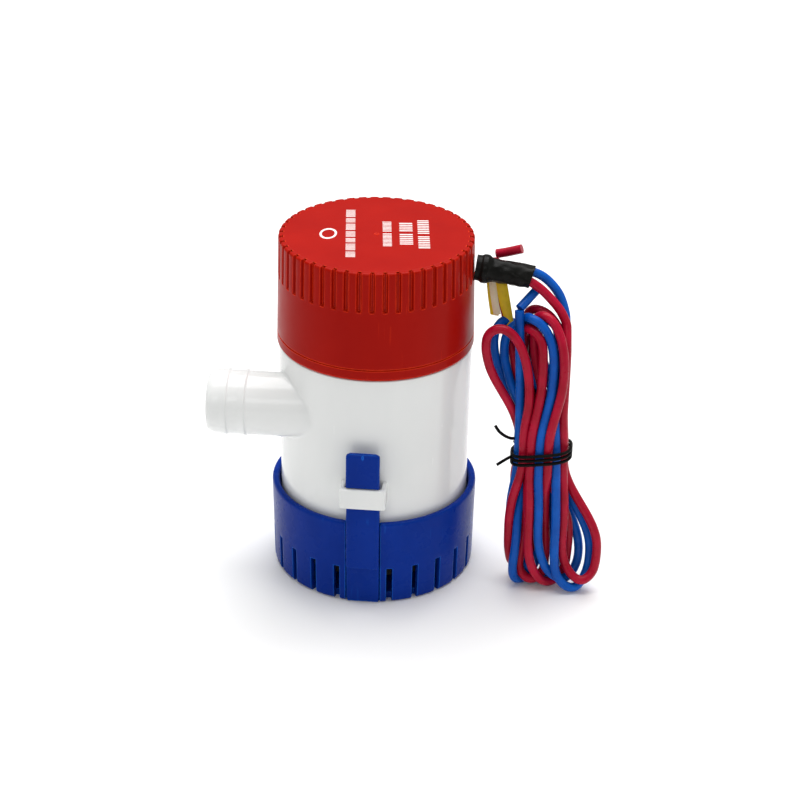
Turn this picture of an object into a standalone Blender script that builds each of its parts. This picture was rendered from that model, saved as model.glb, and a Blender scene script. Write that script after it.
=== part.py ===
"""Small 12 V submersible bilge pump on a snap-off strainer.

Every named value is in millimetres, and the helpers convert to metres. The origin is the centre of the
strainer's underside, +Z is up, the hose outlet points to -X, the two latches are on -Y and +Y, and the
cable leaves on +X.
"""

import math

import bmesh
import bpy
from mathutils import Matrix, Vector

MM = 0.001
GAP = 0.3
MERGE = 1e-7
ROUND = 64

# Strainer
STRAINER_HEIGHT = 28.8
STRAINER_FOOT_R = 31.9
STRAINER_RIM_R = 32.5
STRAINER_BORE_R = 30.2
STRAINER_FLOOR = 2.2
SLOT_STEP = 15
SLOT_WIDTH = 2.0
SLOT_TOP = 12.5
SCREW_HOLE_R = 2.3
SCREW_HOLE_X = 13.0

# Latches: a flexing finger of the strainer behind a loop of the housing
FINGER_WIDTH = 10.3
FINGER_TOP = 54.0
PAD_BOTTOM = 13.5
CATCH_Z = 42.5
LOOP_WIDTH = 14.2
LOOP_BOTTOM = 35.5
LOOP_TOP = 42.2
LOOP_FACE_R = 35.2
LOOP_BAR = 1.8
LOOP_ARM = 1.5

# Housing
HOUSING_FOOT_Z = 8.6
HOUSING_FOOT_R = 29.4
SEAM_Z = 77.3
HOUSING_TOP_R = 30.0
JACKET_R = 27.4
WELL_R = 19.6
WELL_BORE_R = 17.8
WELL_FLOOR_Z = 17.9
DECK_BOTTOM = 70.5
DECK_TOP = 73.0
SPIGOT_R = 28.1
SPIGOT_TOP = 86.0
SPIGOT_BORE_R = 24.5

# Hose outlet, which leaves the water jacket along its front side
OUTLET_Y = -14.65
OUTLET_Z = 59.5
OUTLET_REACH = 49.9
OUTLET_R = 10.0
OUTLET_BORE_R = 7.9
OUTLET_ROOT_R = 28.2

# Cap
CAP_TOP = 112.0
CAP_SEAM_R = 30.5
CAP_TOP_R = 29.8
CAP_BORE_R = 28.4
RIB_COUNT = 48
RIB_BOTTOM = 99.0
RIB_DEPTH = 0.8
CABLE_Z = 102.7

# Motor and impeller, all on the Z axis
SHAFT_R = 1.6
RUNNING_FIT = 0.05
CAN_R = 17.4
CAN_WALL = 1.2
CAN_BOTTOM = 23.4
CAN_TOP = 84.0
BELL_TOP = 96.0
CORE_BOTTOM = 38.0
CORE_TOP = 72.0
CORE_R = 12.2
POLE_COUNT = 5
POLE_HOLE_AT = 8.3
VANE_COUNT = 5

# Cable
WIRE_R = 1.43
TIE_R = 0.5
HANK_HALF_DEPTH = 5.0


def clear_scene():
    for old in list(bpy.data.objects):
        bpy.data.objects.remove(old, do_unlink=True)


def material(name, colour, roughness, metallic=0.0):
    """A Principled material, made once for each name."""
    made = bpy.data.materials.get(name) or bpy.data.materials.new(name)
    made.use_nodes = True
    shader = made.node_tree.nodes["Principled BSDF"]
    shader.inputs["Base Color"].default_value = (*colour, 1.0)
    shader.inputs["Roughness"].default_value = roughness
    shader.inputs["Metallic"].default_value = metallic
    return made


BLUE_PLASTIC = ("strainer_blue", (0.006, 0.03, 0.27), 0.38)
WHITE_PLASTIC = ("housing_white", (0.78, 0.79, 0.77), 0.22)
RED_PLASTIC = ("cap_red", (0.42, 0.015, 0.008), 0.34)
DARK_PLASTIC = ("dark_plastic", (0.03, 0.03, 0.032), 0.45)
BLACK_SLEEVE = ("sleeve_black", (0.012, 0.012, 0.012), 0.35)
RUBBER = ("black_rubber", (0.02, 0.02, 0.02), 0.7)
STEEL = ("steel", (0.55, 0.55, 0.56), 0.3, 1.0)
ZINC = ("zinc_steel", (0.62, 0.62, 0.6), 0.35, 1.0)
BRONZE = ("sintered_bronze", (0.45, 0.27, 0.12), 0.5, 1.0)
BRASS = ("brass", (0.7, 0.5, 0.2), 0.3, 1.0)
COPPER = ("copper_wire", (0.6, 0.22, 0.1), 0.3, 1.0)
FERRITE = ("ferrite", (0.05, 0.05, 0.055), 0.6)
CARBON = ("carbon", (0.04, 0.04, 0.04), 0.55)
RED_PVC = ("wire_red", (0.42, 0.012, 0.045), 0.38)
BLUE_PVC = ("wire_blue", (0.006, 0.09, 0.45), 0.38)
MIXED_PVC = ("hank_pvc", (0.2, 0.04, 0.2), 0.4)
TAG_YELLOW = ("tag_yellow", (0.55, 0.38, 0.01), 0.5)


def finished(name, mesh, look, smooth_below=35):
    """Makes the object from a bmesh in metres, with its material and its smooth shading."""
    data = bpy.data.meshes.new(name)
    bmesh.ops.recalc_face_normals(mesh, faces=mesh.faces[:])
    mesh.to_mesh(data)
    mesh.free()
    data.shade_smooth()
    data.set_sharp_from_angle(angle=math.radians(smooth_below))
    data.materials.append(material(*look))
    made = bpy.data.objects.new(name, data)
    bpy.context.scene.collection.objects.link(made)
    return made


def revolved_mesh(profile, steps=ROUND):
    """A closed profile of (radius, height) points turned about Z."""
    mesh = bmesh.new()
    verts = [mesh.verts.new((r * MM, 0, z * MM)) for r, z in profile]
    edges = []
    for index, point in enumerate(profile):
        after = (index + 1) % len(profile)
        if point[0] > 0 or profile[after][0] > 0:
            edges.append(mesh.edges.new((verts[index], verts[after])))
    turn = {"cent": (0, 0, 0), "axis": (0, 0, 1), "angle": math.tau, "steps": steps}
    bmesh.ops.spin(mesh, geom=verts + edges, **turn)
    bmesh.ops.remove_doubles(mesh, verts=mesh.verts[:], dist=MERGE)
    return mesh


def revolved(name, profile, look, steps=ROUND):
    return finished(name, revolved_mesh(profile, steps), look)


def prism_mesh(outline, low, high, axis="Z"):
    """A flat outline extruded along an axis. The outline's points are the other two coordinates."""
    mesh = bmesh.new()
    place = {
        "X": lambda a, b, c: (c, a, b),
        "Z": lambda a, b, c: (a, b, c),
    }[axis]
    verts = [mesh.verts.new([MM * value for value in place(a, b, low)]) for a, b in outline]
    face = mesh.faces.new(verts)
    moved = bmesh.ops.extrude_face_region(mesh, geom=[face])["geom"]
    shift = Vector([MM * value for value in place(0, 0, high - low)])
    bmesh.ops.translate(mesh, vec=shift, verts=[v for v in moved if isinstance(v, bmesh.types.BMVert)])
    return mesh


def box_outline(left, right, front, back):
    return [(left, front), (right, front), (right, back), (left, back)]


def circle_outline(radius, steps, centre=(0, 0)):
    angles = [math.tau * step / steps for step in range(steps)]
    return [(centre[0] + radius * math.cos(a), centre[1] + radius * math.sin(a)) for a in angles]


def add_copy(target, source, matrix):
    """Adds a moved copy of one bmesh to another."""
    data = bpy.data.meshes.new("part_of_cutter")
    source.to_mesh(data)
    data.transform(matrix)
    target.from_mesh(data)
    bpy.data.meshes.remove(data)


def turned(degrees):
    return Matrix.Rotation(math.radians(degrees), 4, "Z")


def helper(name, mesh):
    """A Boolean's other object, which isn't a part of the pump."""
    made = finished(name, mesh, STEEL)
    made.hide_render = True
    made.display_type = "WIRE"
    return made


def combine(target, mesh, operation, name):
    modifier = target.modifiers.new(name, "BOOLEAN")
    modifier.operation = operation
    modifier.solver = "EXACT"
    modifier.use_self = operation == "UNION"
    modifier.object = helper(f"{target.name}_{name}", mesh)


def bevelled(made, width, segments=2, angle=40):
    modifier = made.modifiers.new("edges", "BEVEL")
    modifier.width = width * MM
    modifier.segments = segments
    modifier.limit_method = "ANGLE"
    modifier.angle_limit = math.radians(angle)


def smooth_route(points, spacing):
    """Points every `spacing` millimetres on a smooth curve through the given ones."""
    knots = [Vector(point) for point in points]
    ends = [knots[0] * 2 - knots[1], *knots, knots[-1] * 2 - knots[-2]]
    dense = [knots[0]]
    for index in range(1, len(ends) - 2):
        before, start, end, after = ends[index - 1 : index + 3]
        for step in range(1, 41):
            t = step / 40
            value = start * 2 + (end - before) * t
            value += (before * 2 - start * 5 + end * 4 - after) * t * t
            value += (start * 3 - before - end * 3 + after) * t * t * t
            dense.append(value / 2)
    lengths = [0.0]
    for before, after in zip(dense, dense[1:]):
        lengths.append(lengths[-1] + (after - before).length)
    count = max(4, round(lengths[-1] / spacing))
    route = []
    for step in range(count + 1):
        wanted = lengths[-1] * step / count
        index = next((i for i, length in enumerate(lengths) if length >= wanted), len(dense) - 1)
        route.append(dense[index])
    return route


def tube(name, route, radius, look, sides_resolution=2):
    """A curve with round section and filled caps along the route."""
    data = bpy.data.curves.new(name, "CURVE")
    data.dimensions = "3D"
    data.bevel_depth = radius * MM
    data.bevel_resolution = sides_resolution
    data.use_fill_caps = True
    spline = data.splines.new("POLY")
    spline.points.add(len(route) - 1)
    for point, place in zip(spline.points, route):
        point.co = (*(Vector(place) * MM), 1.0)
    data.materials.append(material(*look))
    made = bpy.data.objects.new(name, data)
    bpy.context.scene.collection.objects.link(made)
    return made


# ---------------------------------------------------------------- strainer


def strainer_base():
    """A cup whose wall is slotted all round at the foot, with two openings where the fingers stand."""
    profile = [
        (0, 0),
        (STRAINER_FOOT_R - 0.5, 0),
        (STRAINER_FOOT_R, 0.6),
        (STRAINER_RIM_R, STRAINER_HEIGHT - 0.4),
        (STRAINER_RIM_R - 0.4, STRAINER_HEIGHT),
        (STRAINER_BORE_R + 0.3, STRAINER_HEIGHT),
        (STRAINER_BORE_R, STRAINER_HEIGHT - 0.3),
        (STRAINER_BORE_R, STRAINER_FLOOR),
        (0, STRAINER_FLOOR),
    ]
    base = revolved("strainer_base", profile, BLUE_PLASTIC, 72)

    seats = bmesh.new()
    seat = prism_mesh(box_outline(27.8, STRAINER_BORE_R + 0.8, -1.3, 1.3), 1.2, HOUSING_FOOT_Z - GAP)
    for index in range(6):
        add_copy(seats, seat, turned(22.5 + 60 * index))
    combine(base, seats, "UNION", "pump_seats")

    openings = bmesh.new()
    slot = prism_mesh(box_outline(29.2, 36, -SLOT_WIDTH / 2, SLOT_WIDTH / 2), -1, SLOT_TOP)
    for index in range(360 // SLOT_STEP):
        if index % (180 // SLOT_STEP) != 90 // SLOT_STEP:
            add_copy(openings, slot, turned(SLOT_STEP * index))
    half = FINGER_WIDTH / 2 + GAP
    window = prism_mesh(box_outline(29.9, 37, -half, half), -1, STRAINER_HEIGHT + 1)
    for angle in (-90, 90):
        add_copy(openings, window, turned(angle))
    hole = prism_mesh(circle_outline(SCREW_HOLE_R, 20, (SCREW_HOLE_X, 0)), -1, STRAINER_FLOOR + 1)
    for angle in (0, 180):
        add_copy(openings, hole, turned(angle))
    combine(base, openings, "DIFFERENCE", "water_slots")
    return base


def latch_finger(name, side):
    """A springy finger. side is -1 for the one on -Y and 1 for the one on +Y."""
    section = [
        (30.2, 0.3),
        (31.6, 0.3),
        (31.9, PAD_BOTTOM - 0.4),
        (33.9, PAD_BOTTOM),
        (33.9, STRAINER_HEIGHT - 0.2),
        (32.9, LOOP_BOTTOM - 0.6),
        (32.9, CATCH_Z),
        (34.6, CATCH_Z),
        (34.4, FINGER_TOP - 0.5),
        (33.9, FINGER_TOP),
        (32.6, FINGER_TOP),
        (32.2, CATCH_Z + 1),
        (31.3, CATCH_Z - 3),
        (31.0, STRAINER_HEIGHT),
        (30.6, PAD_BOTTOM),
    ]
    outline = [(side * r, z) for r, z in section]
    mesh = prism_mesh(outline, -FINGER_WIDTH / 2, FINGER_WIDTH / 2, "X")
    finger = finished(name, mesh, BLUE_PLASTIC, 20)
    bevelled(finger, 0.35, 2, 50)
    return finger


# ---------------------------------------------------------------- housing


def loop_mesh():
    """A U-shaped bridge on the -Y side, whose arms end inside the housing's wall."""
    half = LOOP_WIDTH / 2
    root = -28.2
    outline = [
        (-half, root),
        (-half, -LOOP_FACE_R),
        (half, -LOOP_FACE_R),
        (half, root),
        (half - LOOP_ARM, root),
        (half - LOOP_ARM, LOOP_BAR - LOOP_FACE_R),
        (LOOP_ARM - half, LOOP_BAR - LOOP_FACE_R),
        (LOOP_ARM - half, root),
    ]
    return prism_mesh(outline, LOOP_BOTTOM, LOOP_TOP)


def outlet_profile():
    """The outside of the hose outlet, as (radius, distance towards -X) points."""
    tip = OUTLET_REACH
    return [
        (0, 10.0),
        (OUTLET_R, 10.0),
        (OUTLET_R, tip - 12.1),
        (OUTLET_R + 0.35, tip - 11.9),
        (OUTLET_R, tip - 9.9),
        (OUTLET_R, tip - 6.25),
        (OUTLET_R + 0.35, tip - 6.05),
        (OUTLET_R - 0.1, tip - 1.6),
        (OUTLET_R - 0.5, tip - 0.5),
        (OUTLET_R - 1.3, tip),
        (0, tip),
    ]


def outside_of(name, mesh, radius):
    """The part of a closed mesh that lies further from the Z axis than the radius, as a new mesh."""
    whole = helper(f"{name}_whole", mesh)
    low, high = OUTLET_Z - OUTLET_R - 3, OUTLET_Z + OUTLET_R + 3
    combine(whole, prism_mesh(circle_outline(radius, 96), low, high), "DIFFERENCE", "core")
    kept = bmesh.new()
    kept.from_object(whole, bpy.context.evaluated_depsgraph_get())
    return kept


def pump_housing():
    """Outer shell, water jacket, dry motor well, outlet and latch loops, moulded as one piece."""
    profile = [
        (JACKET_R, HOUSING_FOOT_Z),
        (HOUSING_FOOT_R, HOUSING_FOOT_Z),
        (HOUSING_TOP_R, SEAM_Z - GAP),
        (SPIGOT_R, SEAM_Z - GAP),
        (SPIGOT_R, 80.0),
        (26.3, 80.0),
        (26.3, 82.6),
        (SPIGOT_R, 82.6),
        (SPIGOT_R, SPIGOT_TOP),
        (SPIGOT_BORE_R, SPIGOT_TOP),
        (SPIGOT_BORE_R, DECK_TOP),
        (WELL_BORE_R, DECK_TOP),
        (WELL_BORE_R, WELL_FLOOR_Z + 2.2),
        (6.8, WELL_FLOOR_Z + 2.2),
        (6.8, CAN_BOTTOM - 0.4),
        (2.2, CAN_BOTTOM - 0.4),
        (2.2, WELL_FLOOR_Z + 4),
        (4.8, WELL_FLOOR_Z + 4),
        (4.8, WELL_FLOOR_Z),
        (WELL_R, WELL_FLOOR_Z),
        (WELL_R, DECK_BOTTOM),
        (JACKET_R, DECK_BOTTOM),
    ]
    housing = revolved("pump_housing", profile, WHITE_PLASTIC, 48)

    place = Vector((0, OUTLET_Y, OUTLET_Z)) * MM
    to_outlet = Matrix.Translation(place) @ Matrix.Rotation(math.radians(-90), 4, "Y")
    pipe = revolved_mesh(outlet_profile(), 32)
    pipe.transform(to_outlet)
    outside = outside_of("outlet", pipe, OUTLET_ROOT_R)
    for angle in (0, 180):
        add_copy(outside, loop_mesh(), turned(angle))
    combine(housing, outside, "UNION", "outlet_and_loops")

    bore = prism_mesh(circle_outline(OUTLET_BORE_R, 32), 10, OUTLET_REACH + 1)
    bore.transform(to_outlet)
    combine(housing, outside_of("outlet_bore", bore, WELL_R + 0.6), "DIFFERENCE", "outlet_bore")
    return housing


def suction_plate():
    """The disc that closes the impeller chamber, with its inlet eye and six guide vanes."""
    bottom = HOUSING_FOOT_Z + 0.4
    profile = [
        (8.2, bottom),
        (27.0, bottom),
        (27.0, bottom + 2.4),
        (9.6, bottom + 2.4),
        (9.6, bottom + 2.8),
        (8.2, bottom + 2.8),
    ]
    plate = revolved("suction_plate", profile, WHITE_PLASTIC)
    vanes = bmesh.new()
    vane = prism_mesh(box_outline(18.0, 24.5, -0.7, 0.7), bottom + 1.5, WELL_FLOOR_Z - 0.5)
    lean = Matrix.Translation((21 * MM, 0, 0)) @ turned(35) @ Matrix.Translation((-21 * MM, 0, 0))
    for index in range(6):
        add_copy(vanes, vane, turned(60 * index) @ lean)
    combine(plate, vanes, "UNION", "guide_vanes")
    return plate


def shaft_seal():
    """A rubber lip seal in the pocket under the motor well."""
    low = WELL_FLOOR_Z + 1.4
    profile = [(1.9, low), (4.5, low), (4.5, low + 2.3), (3.4, low + 2.3), (3.1, low + 1.0), (1.9, low + 0.7)]
    return revolved("shaft_seal", profile, RUBBER, 24)


def seal_retainer():
    low = WELL_FLOOR_Z + 0.2
    profile = [(2.1, low), (4.5, low), (4.5, low + 0.8), (2.1, low + 0.8)]
    return revolved("seal_retainer", profile, STEEL, 24)


# ---------------------------------------------------------------- cap


def cap_outside(radius_at, segments_per_rib=4):
    """Rings of the cap's outer skin, from the seam up, with the ribs cut in above RIB_BOTTOM."""
    count = RIB_COUNT * segments_per_rib
    step = math.tau / RIB_COUNT
    shares = (-0.095, 0.095, 0.13, 0.87)
    rings = []
    for height, radius, depth in radius_at:
        ring = []
        for index in range(count):
            rib, corner = divmod(index, segments_per_rib)
            angle = (rib + 0.5 + shares[corner]) * step
            low = depth if corner in (0, 1) else 0
            ring.append(((radius - low) * math.cos(angle), (radius - low) * math.sin(angle), height))
        rings.append(ring)
    return rings


def motor_cap():
    """The red cover: a ribbed grip above a plain skirt, with four posts inside that hold the motor down."""
    slope = (CAP_SEAM_R - CAP_TOP_R) / (CAP_TOP - SEAM_Z)
    def radius(z):
        return CAP_SEAM_R - slope * (z - SEAM_Z)
    levels = [
        (SEAM_Z, radius(SEAM_Z), 0),
        (RIB_BOTTOM - 0.3, radius(RIB_BOTTOM), 0),
        (RIB_BOTTOM, radius(RIB_BOTTOM), RIB_DEPTH),
        (CAP_TOP - 0.5, radius(CAP_TOP), RIB_DEPTH),
        (CAP_TOP, radius(CAP_TOP) - 0.5, RIB_DEPTH - 0.3),
    ]
    mesh = bmesh.new()
    rings = [[mesh.verts.new([MM * v for v in place]) for place in ring] for ring in cap_outside(levels)]
    for below, above in zip(rings, rings[1:]):
        for index in range(len(below)):
            after = (index + 1) % len(below)
            mesh.faces.new((below[index], below[after], above[after], above[index]))
    mesh.faces.new(rings[-1])
    mesh.faces.new(list(reversed(rings[0])))
    cap = finished("motor_cap", mesh, RED_PLASTIC, 30)

    hollow_profile = [
        (0, SEAM_Z - 1),
        (CAP_BORE_R, SEAM_Z - 1),
        (CAP_BORE_R, SPIGOT_TOP + 0.6),
        (27.6, SPIGOT_TOP + 1.4),
        (27.3, CAP_TOP - 2.8),
        (26.7, CAP_TOP - 2.2),
        (0, CAP_TOP - 2.2),
    ]
    combine(cap, revolved_mesh(hollow_profile, 48), "DIFFERENCE", "hollow")
    posts = bmesh.new()
    for angle in (0, 90, 180, 270):
        place = (13 * math.cos(math.radians(angle)), 13 * math.sin(math.radians(angle)))
        post = prism_mesh(circle_outline(1.7, 12, place), BELL_TOP + GAP, CAP_TOP - 1.2)
        add_copy(posts, post, Matrix.Identity(4))
    combine(cap, posts, "UNION", "motor_posts")
    hole = prism_mesh([(y, z + CABLE_Z) for y, z in circle_outline(4.3, 24)], 24, 34, "X")
    combine(cap, hole, "DIFFERENCE", "cable_hole")
    return cap


def cap_seal_ring():
    """An O-ring in the groove round the housing's spigot."""
    profile = [(27.2 + 0.7 * math.cos(a), 81.3 + 0.7 * math.sin(a)) for a in (math.tau * i / 6 for i in range(6))]
    return revolved("cap_seal_ring", profile, RUBBER, 36)


# ---------------------------------------------------------------- motor


def motor_can():
    inner = CAN_R - CAN_WALL
    profile = [
        (CAN_R, CAN_BOTTOM),
        (CAN_R, CAN_TOP),
        (inner, CAN_TOP),
        (inner, CAN_BOTTOM + CAN_WALL),
        (5.2, CAN_BOTTOM + CAN_WALL),
        (5.2, CAN_BOTTOM + 5.4),
        (4.0, CAN_BOTTOM + 5.4),
        (4.0, CAN_BOTTOM),
    ]
    return revolved("motor_can", profile, ZINC, 32)


def bush(name, low, high, outer):
    bore = SHAFT_R + RUNNING_FIT
    profile = [(bore, low), (outer, low), (outer, high), (bore, high)]
    return revolved(name, profile, BRONZE, 24)


def magnet(name, middle):
    """A curved ferrite block. middle is the direction it lies in, in degrees."""
    angles = [math.radians(middle - 64 + 16 * index) for index in range(9)]
    outer = [(15.9 * math.cos(a), 15.9 * math.sin(a)) for a in angles]
    inner = [(12.9 * math.cos(a), 12.9 * math.sin(a)) for a in reversed(angles)]
    return finished(name, prism_mesh(outer + inner, CORE_BOTTOM - 2, CORE_TOP + 2), FERRITE)


def end_bell():
    """The moulded end of the motor that carries the brushes and the upper bush."""
    low = CAN_TOP + GAP
    profile = [
        (15.8, low),
        (CAN_R, low),
        (CAN_R, BELL_TOP - 0.8),
        (CAN_R - 0.8, BELL_TOP),
        (3.4, BELL_TOP),
        (3.4, BELL_TOP - 4.2),
        (5.6, BELL_TOP - 4.2),
        (5.6, BELL_TOP - 2.0),
        (15.8, BELL_TOP - 2.0),
    ]
    return revolved("end_bell", profile, DARK_PLASTIC, 32)


def brush(name, side):
    mesh = prism_mesh(box_outline(*sorted((side * 4.9, side * 9.5)), -1.8, 1.8), 85.2, 88.2)
    return finished(name, mesh, CARBON)


def brush_spring(name, side):
    """A folded leaf that pushes a brush onto the commutator."""
    outline = [(9.8, -1.6), (10.3, -1.6), (10.3, 3.0), (14.6, 5.4), (14.3, 5.9), (9.8, 3.4)]
    points = [(side * x, side * y) for x, y in outline]
    return finished(name, prism_mesh(points, 85.4, 88.0), BRASS)


def terminal(name, side):
    mesh = prism_mesh(box_outline(-1.6, 1.6, side * 9.0 - 0.4, side * 9.0 + 0.4), BELL_TOP + GAP, BELL_TOP + 5)
    return finished(name, mesh, BRASS)


def armature_core():
    """Stacked steel with five winding slots."""
    profile = [(SHAFT_R + GAP, CORE_BOTTOM), (CORE_R, CORE_BOTTOM), (CORE_R, CORE_TOP), (SHAFT_R + GAP, CORE_TOP)]
    core = revolved("armature_core", profile, STEEL, 36)
    slots = bmesh.new()
    hole = prism_mesh(circle_outline(2.3, 12, (POLE_HOLE_AT, 0)), CORE_BOTTOM - 1, CORE_TOP + 1)
    mouth = prism_mesh(box_outline(POLE_HOLE_AT, CORE_R + 1, -0.6, 0.6), CORE_BOTTOM - 1, CORE_TOP + 1)
    for index in range(POLE_COUNT):
        add_copy(slots, hole, turned(360 / POLE_COUNT * index))
    combine(core, slots, "DIFFERENCE", "slots")
    mouths = bmesh.new()
    for index in range(POLE_COUNT):
        add_copy(mouths, mouth, turned(360 / POLE_COUNT * index))
    combine(core, mouths, "DIFFERENCE", "slot_mouths")
    return core


def armature_windings():
    """The coils: a crowned ring of end turns above and below, joined through the slots."""
    def end_turns(low, high):
        return [(2.6, low), (9.0, low), (10.8, low + 1.5), (10.8, high - 1.5), (9.0, high), (2.6, high)]
    windings = revolved("armature_windings", end_turns(CORE_BOTTOM - 6, CORE_BOTTOM - GAP), COPPER, 20)
    rest = bmesh.new()
    add_copy(rest, revolved_mesh(end_turns(CORE_TOP + GAP, CORE_TOP + 6), 20), Matrix.Identity(4))
    bar = prism_mesh(circle_outline(1.9, 10, (POLE_HOLE_AT, 0)), CORE_BOTTOM - 3, CORE_TOP + 3)
    for index in range(POLE_COUNT):
        add_copy(rest, bar, turned(360 / POLE_COUNT * index))
    combine(windings, rest, "UNION", "bars_and_upper_turns")
    return windings


def commutator():
    profile = [
        (SHAFT_R + GAP, 80.0),
        (5.6, 80.0),
        (5.6, 82.6),
        (4.5, 83.2),
        (4.5, 90.6),
        (SHAFT_R + GAP, 90.6),
    ]
    return revolved("commutator", profile, COPPER, 20)


def motor_shaft():
    profile = [(0, 13.4), (SHAFT_R - 0.2, 13.4), (SHAFT_R, 13.6), (SHAFT_R, 94.6), (SHAFT_R - 0.2, 94.8), (0, 94.8)]
    return revolved("motor_shaft", profile, STEEL, 24)


def impeller():
    """A half-open impeller: hub, top shroud and swept vanes below it."""
    profile = [
        (0, 12.4),
        (2.6, 12.4),
        (3.8, 13.2),
        (4.0, 15.2),
        (15.4, 15.2),
        (15.4, 16.6),
        (4.0, 16.6),
        (4.0, 17.4),
        (SHAFT_R + GAP, 17.4),
        (SHAFT_R + GAP, 13.1),
        (0, 13.1),
    ]
    wheel = revolved("impeller", profile, DARK_PLASTIC, 32)
    outline = []
    for thickness in (0.55, -0.55):
        side = []
        for step in range(7):
            radius = 3.4 + 11.6 * step / 6
            sweep = math.radians(-58 * step / 6) + thickness / radius
            side.append((radius * math.cos(sweep), radius * math.sin(sweep)))
        outline += side if thickness > 0 else side[::-1]
    vanes = bmesh.new()
    vane = prism_mesh(outline, 12.3, 15.9)
    for index in range(VANE_COUNT):
        add_copy(vanes, vane, turned(360 / VANE_COUNT * index))
    combine(wheel, vanes, "UNION", "vanes")
    return wheel


# ---------------------------------------------------------------- cable


def along_x(profile, origin, droop):
    """Turns a (radius, distance) profile to run along +X from the origin, sloping down by droop degrees."""
    mesh = revolved_mesh(profile, 16)
    lay = Matrix.Translation(Vector(origin) * MM) @ Matrix.Rotation(math.radians(90 + droop), 4, "Y")
    bmesh.ops.transform(mesh, matrix=lay, verts=mesh.verts[:])
    return mesh


def cable_grommet():
    profile = [(0, 0), (5.1, 0), (5.1, 1.5), (3.9, 1.5), (3.9, 4.4), (0, 4.4)]
    return finished("cable_grommet", along_x(profile, (25.2, 0, CABLE_Z), 0), RUBBER)


def cable_sleeve():
    """Heat-shrunk sleeve where the two wires leave the cap."""
    profile = [
        (0, 0),
        (3.9, 0),
        (3.9, 1.6),
        (4.5, 2.2),
        (4.5, 3.6),
        (3.6, 4.6),
        (3.6, 9.5),
        (3.9, 12.0),
        (3.8, 16.6),
        (0, 16.6),
    ]
    return finished("cable_sleeve", along_x(profile, (30.5, 0, CABLE_Z), 7.5), BLACK_SLEEVE)


def inner_lead(name, side, look):
    """A wire inside the cap, from the grommet to its terminal."""
    places = [
        (24.9, side * 1.6, CABLE_Z),
        (21.5, side * 2.0, CABLE_Z),
        (17.0, side * 4.0, CABLE_Z + 1.0),
        (11.0, side * 7.2, CABLE_Z + 2.6),
        (5.0, side * 9.2, CABLE_Z + 3.0),
        (1.2, side * 9.2, CABLE_Z + 1.8),
        (0.2, side * 9.0, CABLE_Z - 0.2),
    ]
    return tube(name, smooth_route(places, 3.0), WIRE_R, look)


RED_LEAD = [
    (47.6, -1.5, 99.3),
    (50.6, -1.9, 97.4),
    (53.7, -2.6, 94.6),
    (56.6, -3.6, 91.6),
    (58.9, -4.8, 87.6),
]
BLUE_LEAD = [
    (47.9, 1.2, 101.6),
    (50.6, 1.4, 100.4),
    (53.6, 1.2, 97.9),
    (56.4, 0.4, 94.4),
    (57.8, -0.7, 90.9),
]
RED_TAIL = [
    (39.8, -0.9, 78.4), (39.0, 1.1, 83.6), (38.4, 3.2, 89.0), (37.7, 5.4, 95.0), (37.1, 6.9, 100.2),
    (37.1, 7.1, 103.6), (38.1, 6.5, 105.9),
]
RED_SLUG = [
    (39.3, 6.2, 106.6),
    (41.4, 5.8, 107.0),
    (44.4, 5.2, 107.9),
]
BLUE_SLUG = [
    (45.3, 0.2, 93.9),
    (47.2, 1.0, 94.4),
    (49.0, 1.8, 95.6),
    (50.2, 2.4, 97.2),
]


def hank_plane_y(z):
    """The hank leans: its foot is further forward than its top."""
    return -6.6 - (92.0 - z) * 0.08


def wire_hank():
    """The outer shape of both wires' folded loops, pinched at the tie, standing on its lower bends."""
    edge = [
        (58.0, 1.2), (50.0, 1.6), (44.5, 6.5), (42.6, 18.0), (43.4, 32.0), (44.3, 42.0), (44.2, 48.0),
        (40.5, 58.0), (35.6, 69.0), (33.2, 80.0), (34.6, 87.4), (39.4, 90.6), (47.5, 92.4), (54.6, 90.8),
        (59.6, 84.0), (61.3, 70.0), (61.9, 56.0), (62.2, 48.0), (62.4, 42.0), (66.4, 34.0), (71.6, 25.0),
        (74.0, 15.0), (72.0, 6.6), (67.0, 1.8),
    ]
    mesh = bmesh.new()
    front = [mesh.verts.new((x * MM, (hank_plane_y(z) - HANK_HALF_DEPTH) * MM, z * MM)) for x, z in edge]
    back = [mesh.verts.new((x * MM, (hank_plane_y(z) + HANK_HALF_DEPTH) * MM, z * MM)) for x, z in edge]
    for index in range(len(edge)):
        after = (index + 1) % len(edge)
        mesh.faces.new((front[index], front[after], back[after], back[index]))
    mesh.faces.new(front)
    mesh.faces.new(back)
    hank = finished("wire_hank", mesh, MIXED_PVC)
    bevelled(hank, 2.2, 2, 50)
    return hank


def twist_tie():
    """Three turns of covered wire round the hank's waist, with both ends left sticking out."""
    middle = (53.2, hank_plane_y(46))
    half_width = 10.3
    half_depth = 6.4
    route = [Vector((38.8, -14.2, 56.0)), Vector((40.4, -14.0, 53.4)), Vector((42.2, -13.6, 50.4))]
    turns = 3
    steps = 18
    for step in range(2, turns * steps - 1):
        angle = math.pi + math.radians(20) + math.tau * step / steps
        x = math.copysign(abs(math.cos(angle)) ** 0.5, math.cos(angle)) * half_width
        y = math.copysign(abs(math.sin(angle)) ** 0.5, math.sin(angle)) * half_depth
        route.append(Vector((middle[0] + x, middle[1] + y, 47.6 - 4.6 * step / (turns * steps))))
    route += [Vector((42.2, -12.4, 43.6)), Vector((41.0, -13.6, 42.8)), Vector((39.7, -14.4, 42.2))]
    return tube("twist_tie", route, TIE_R, BLACK_SLEEVE)


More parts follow.
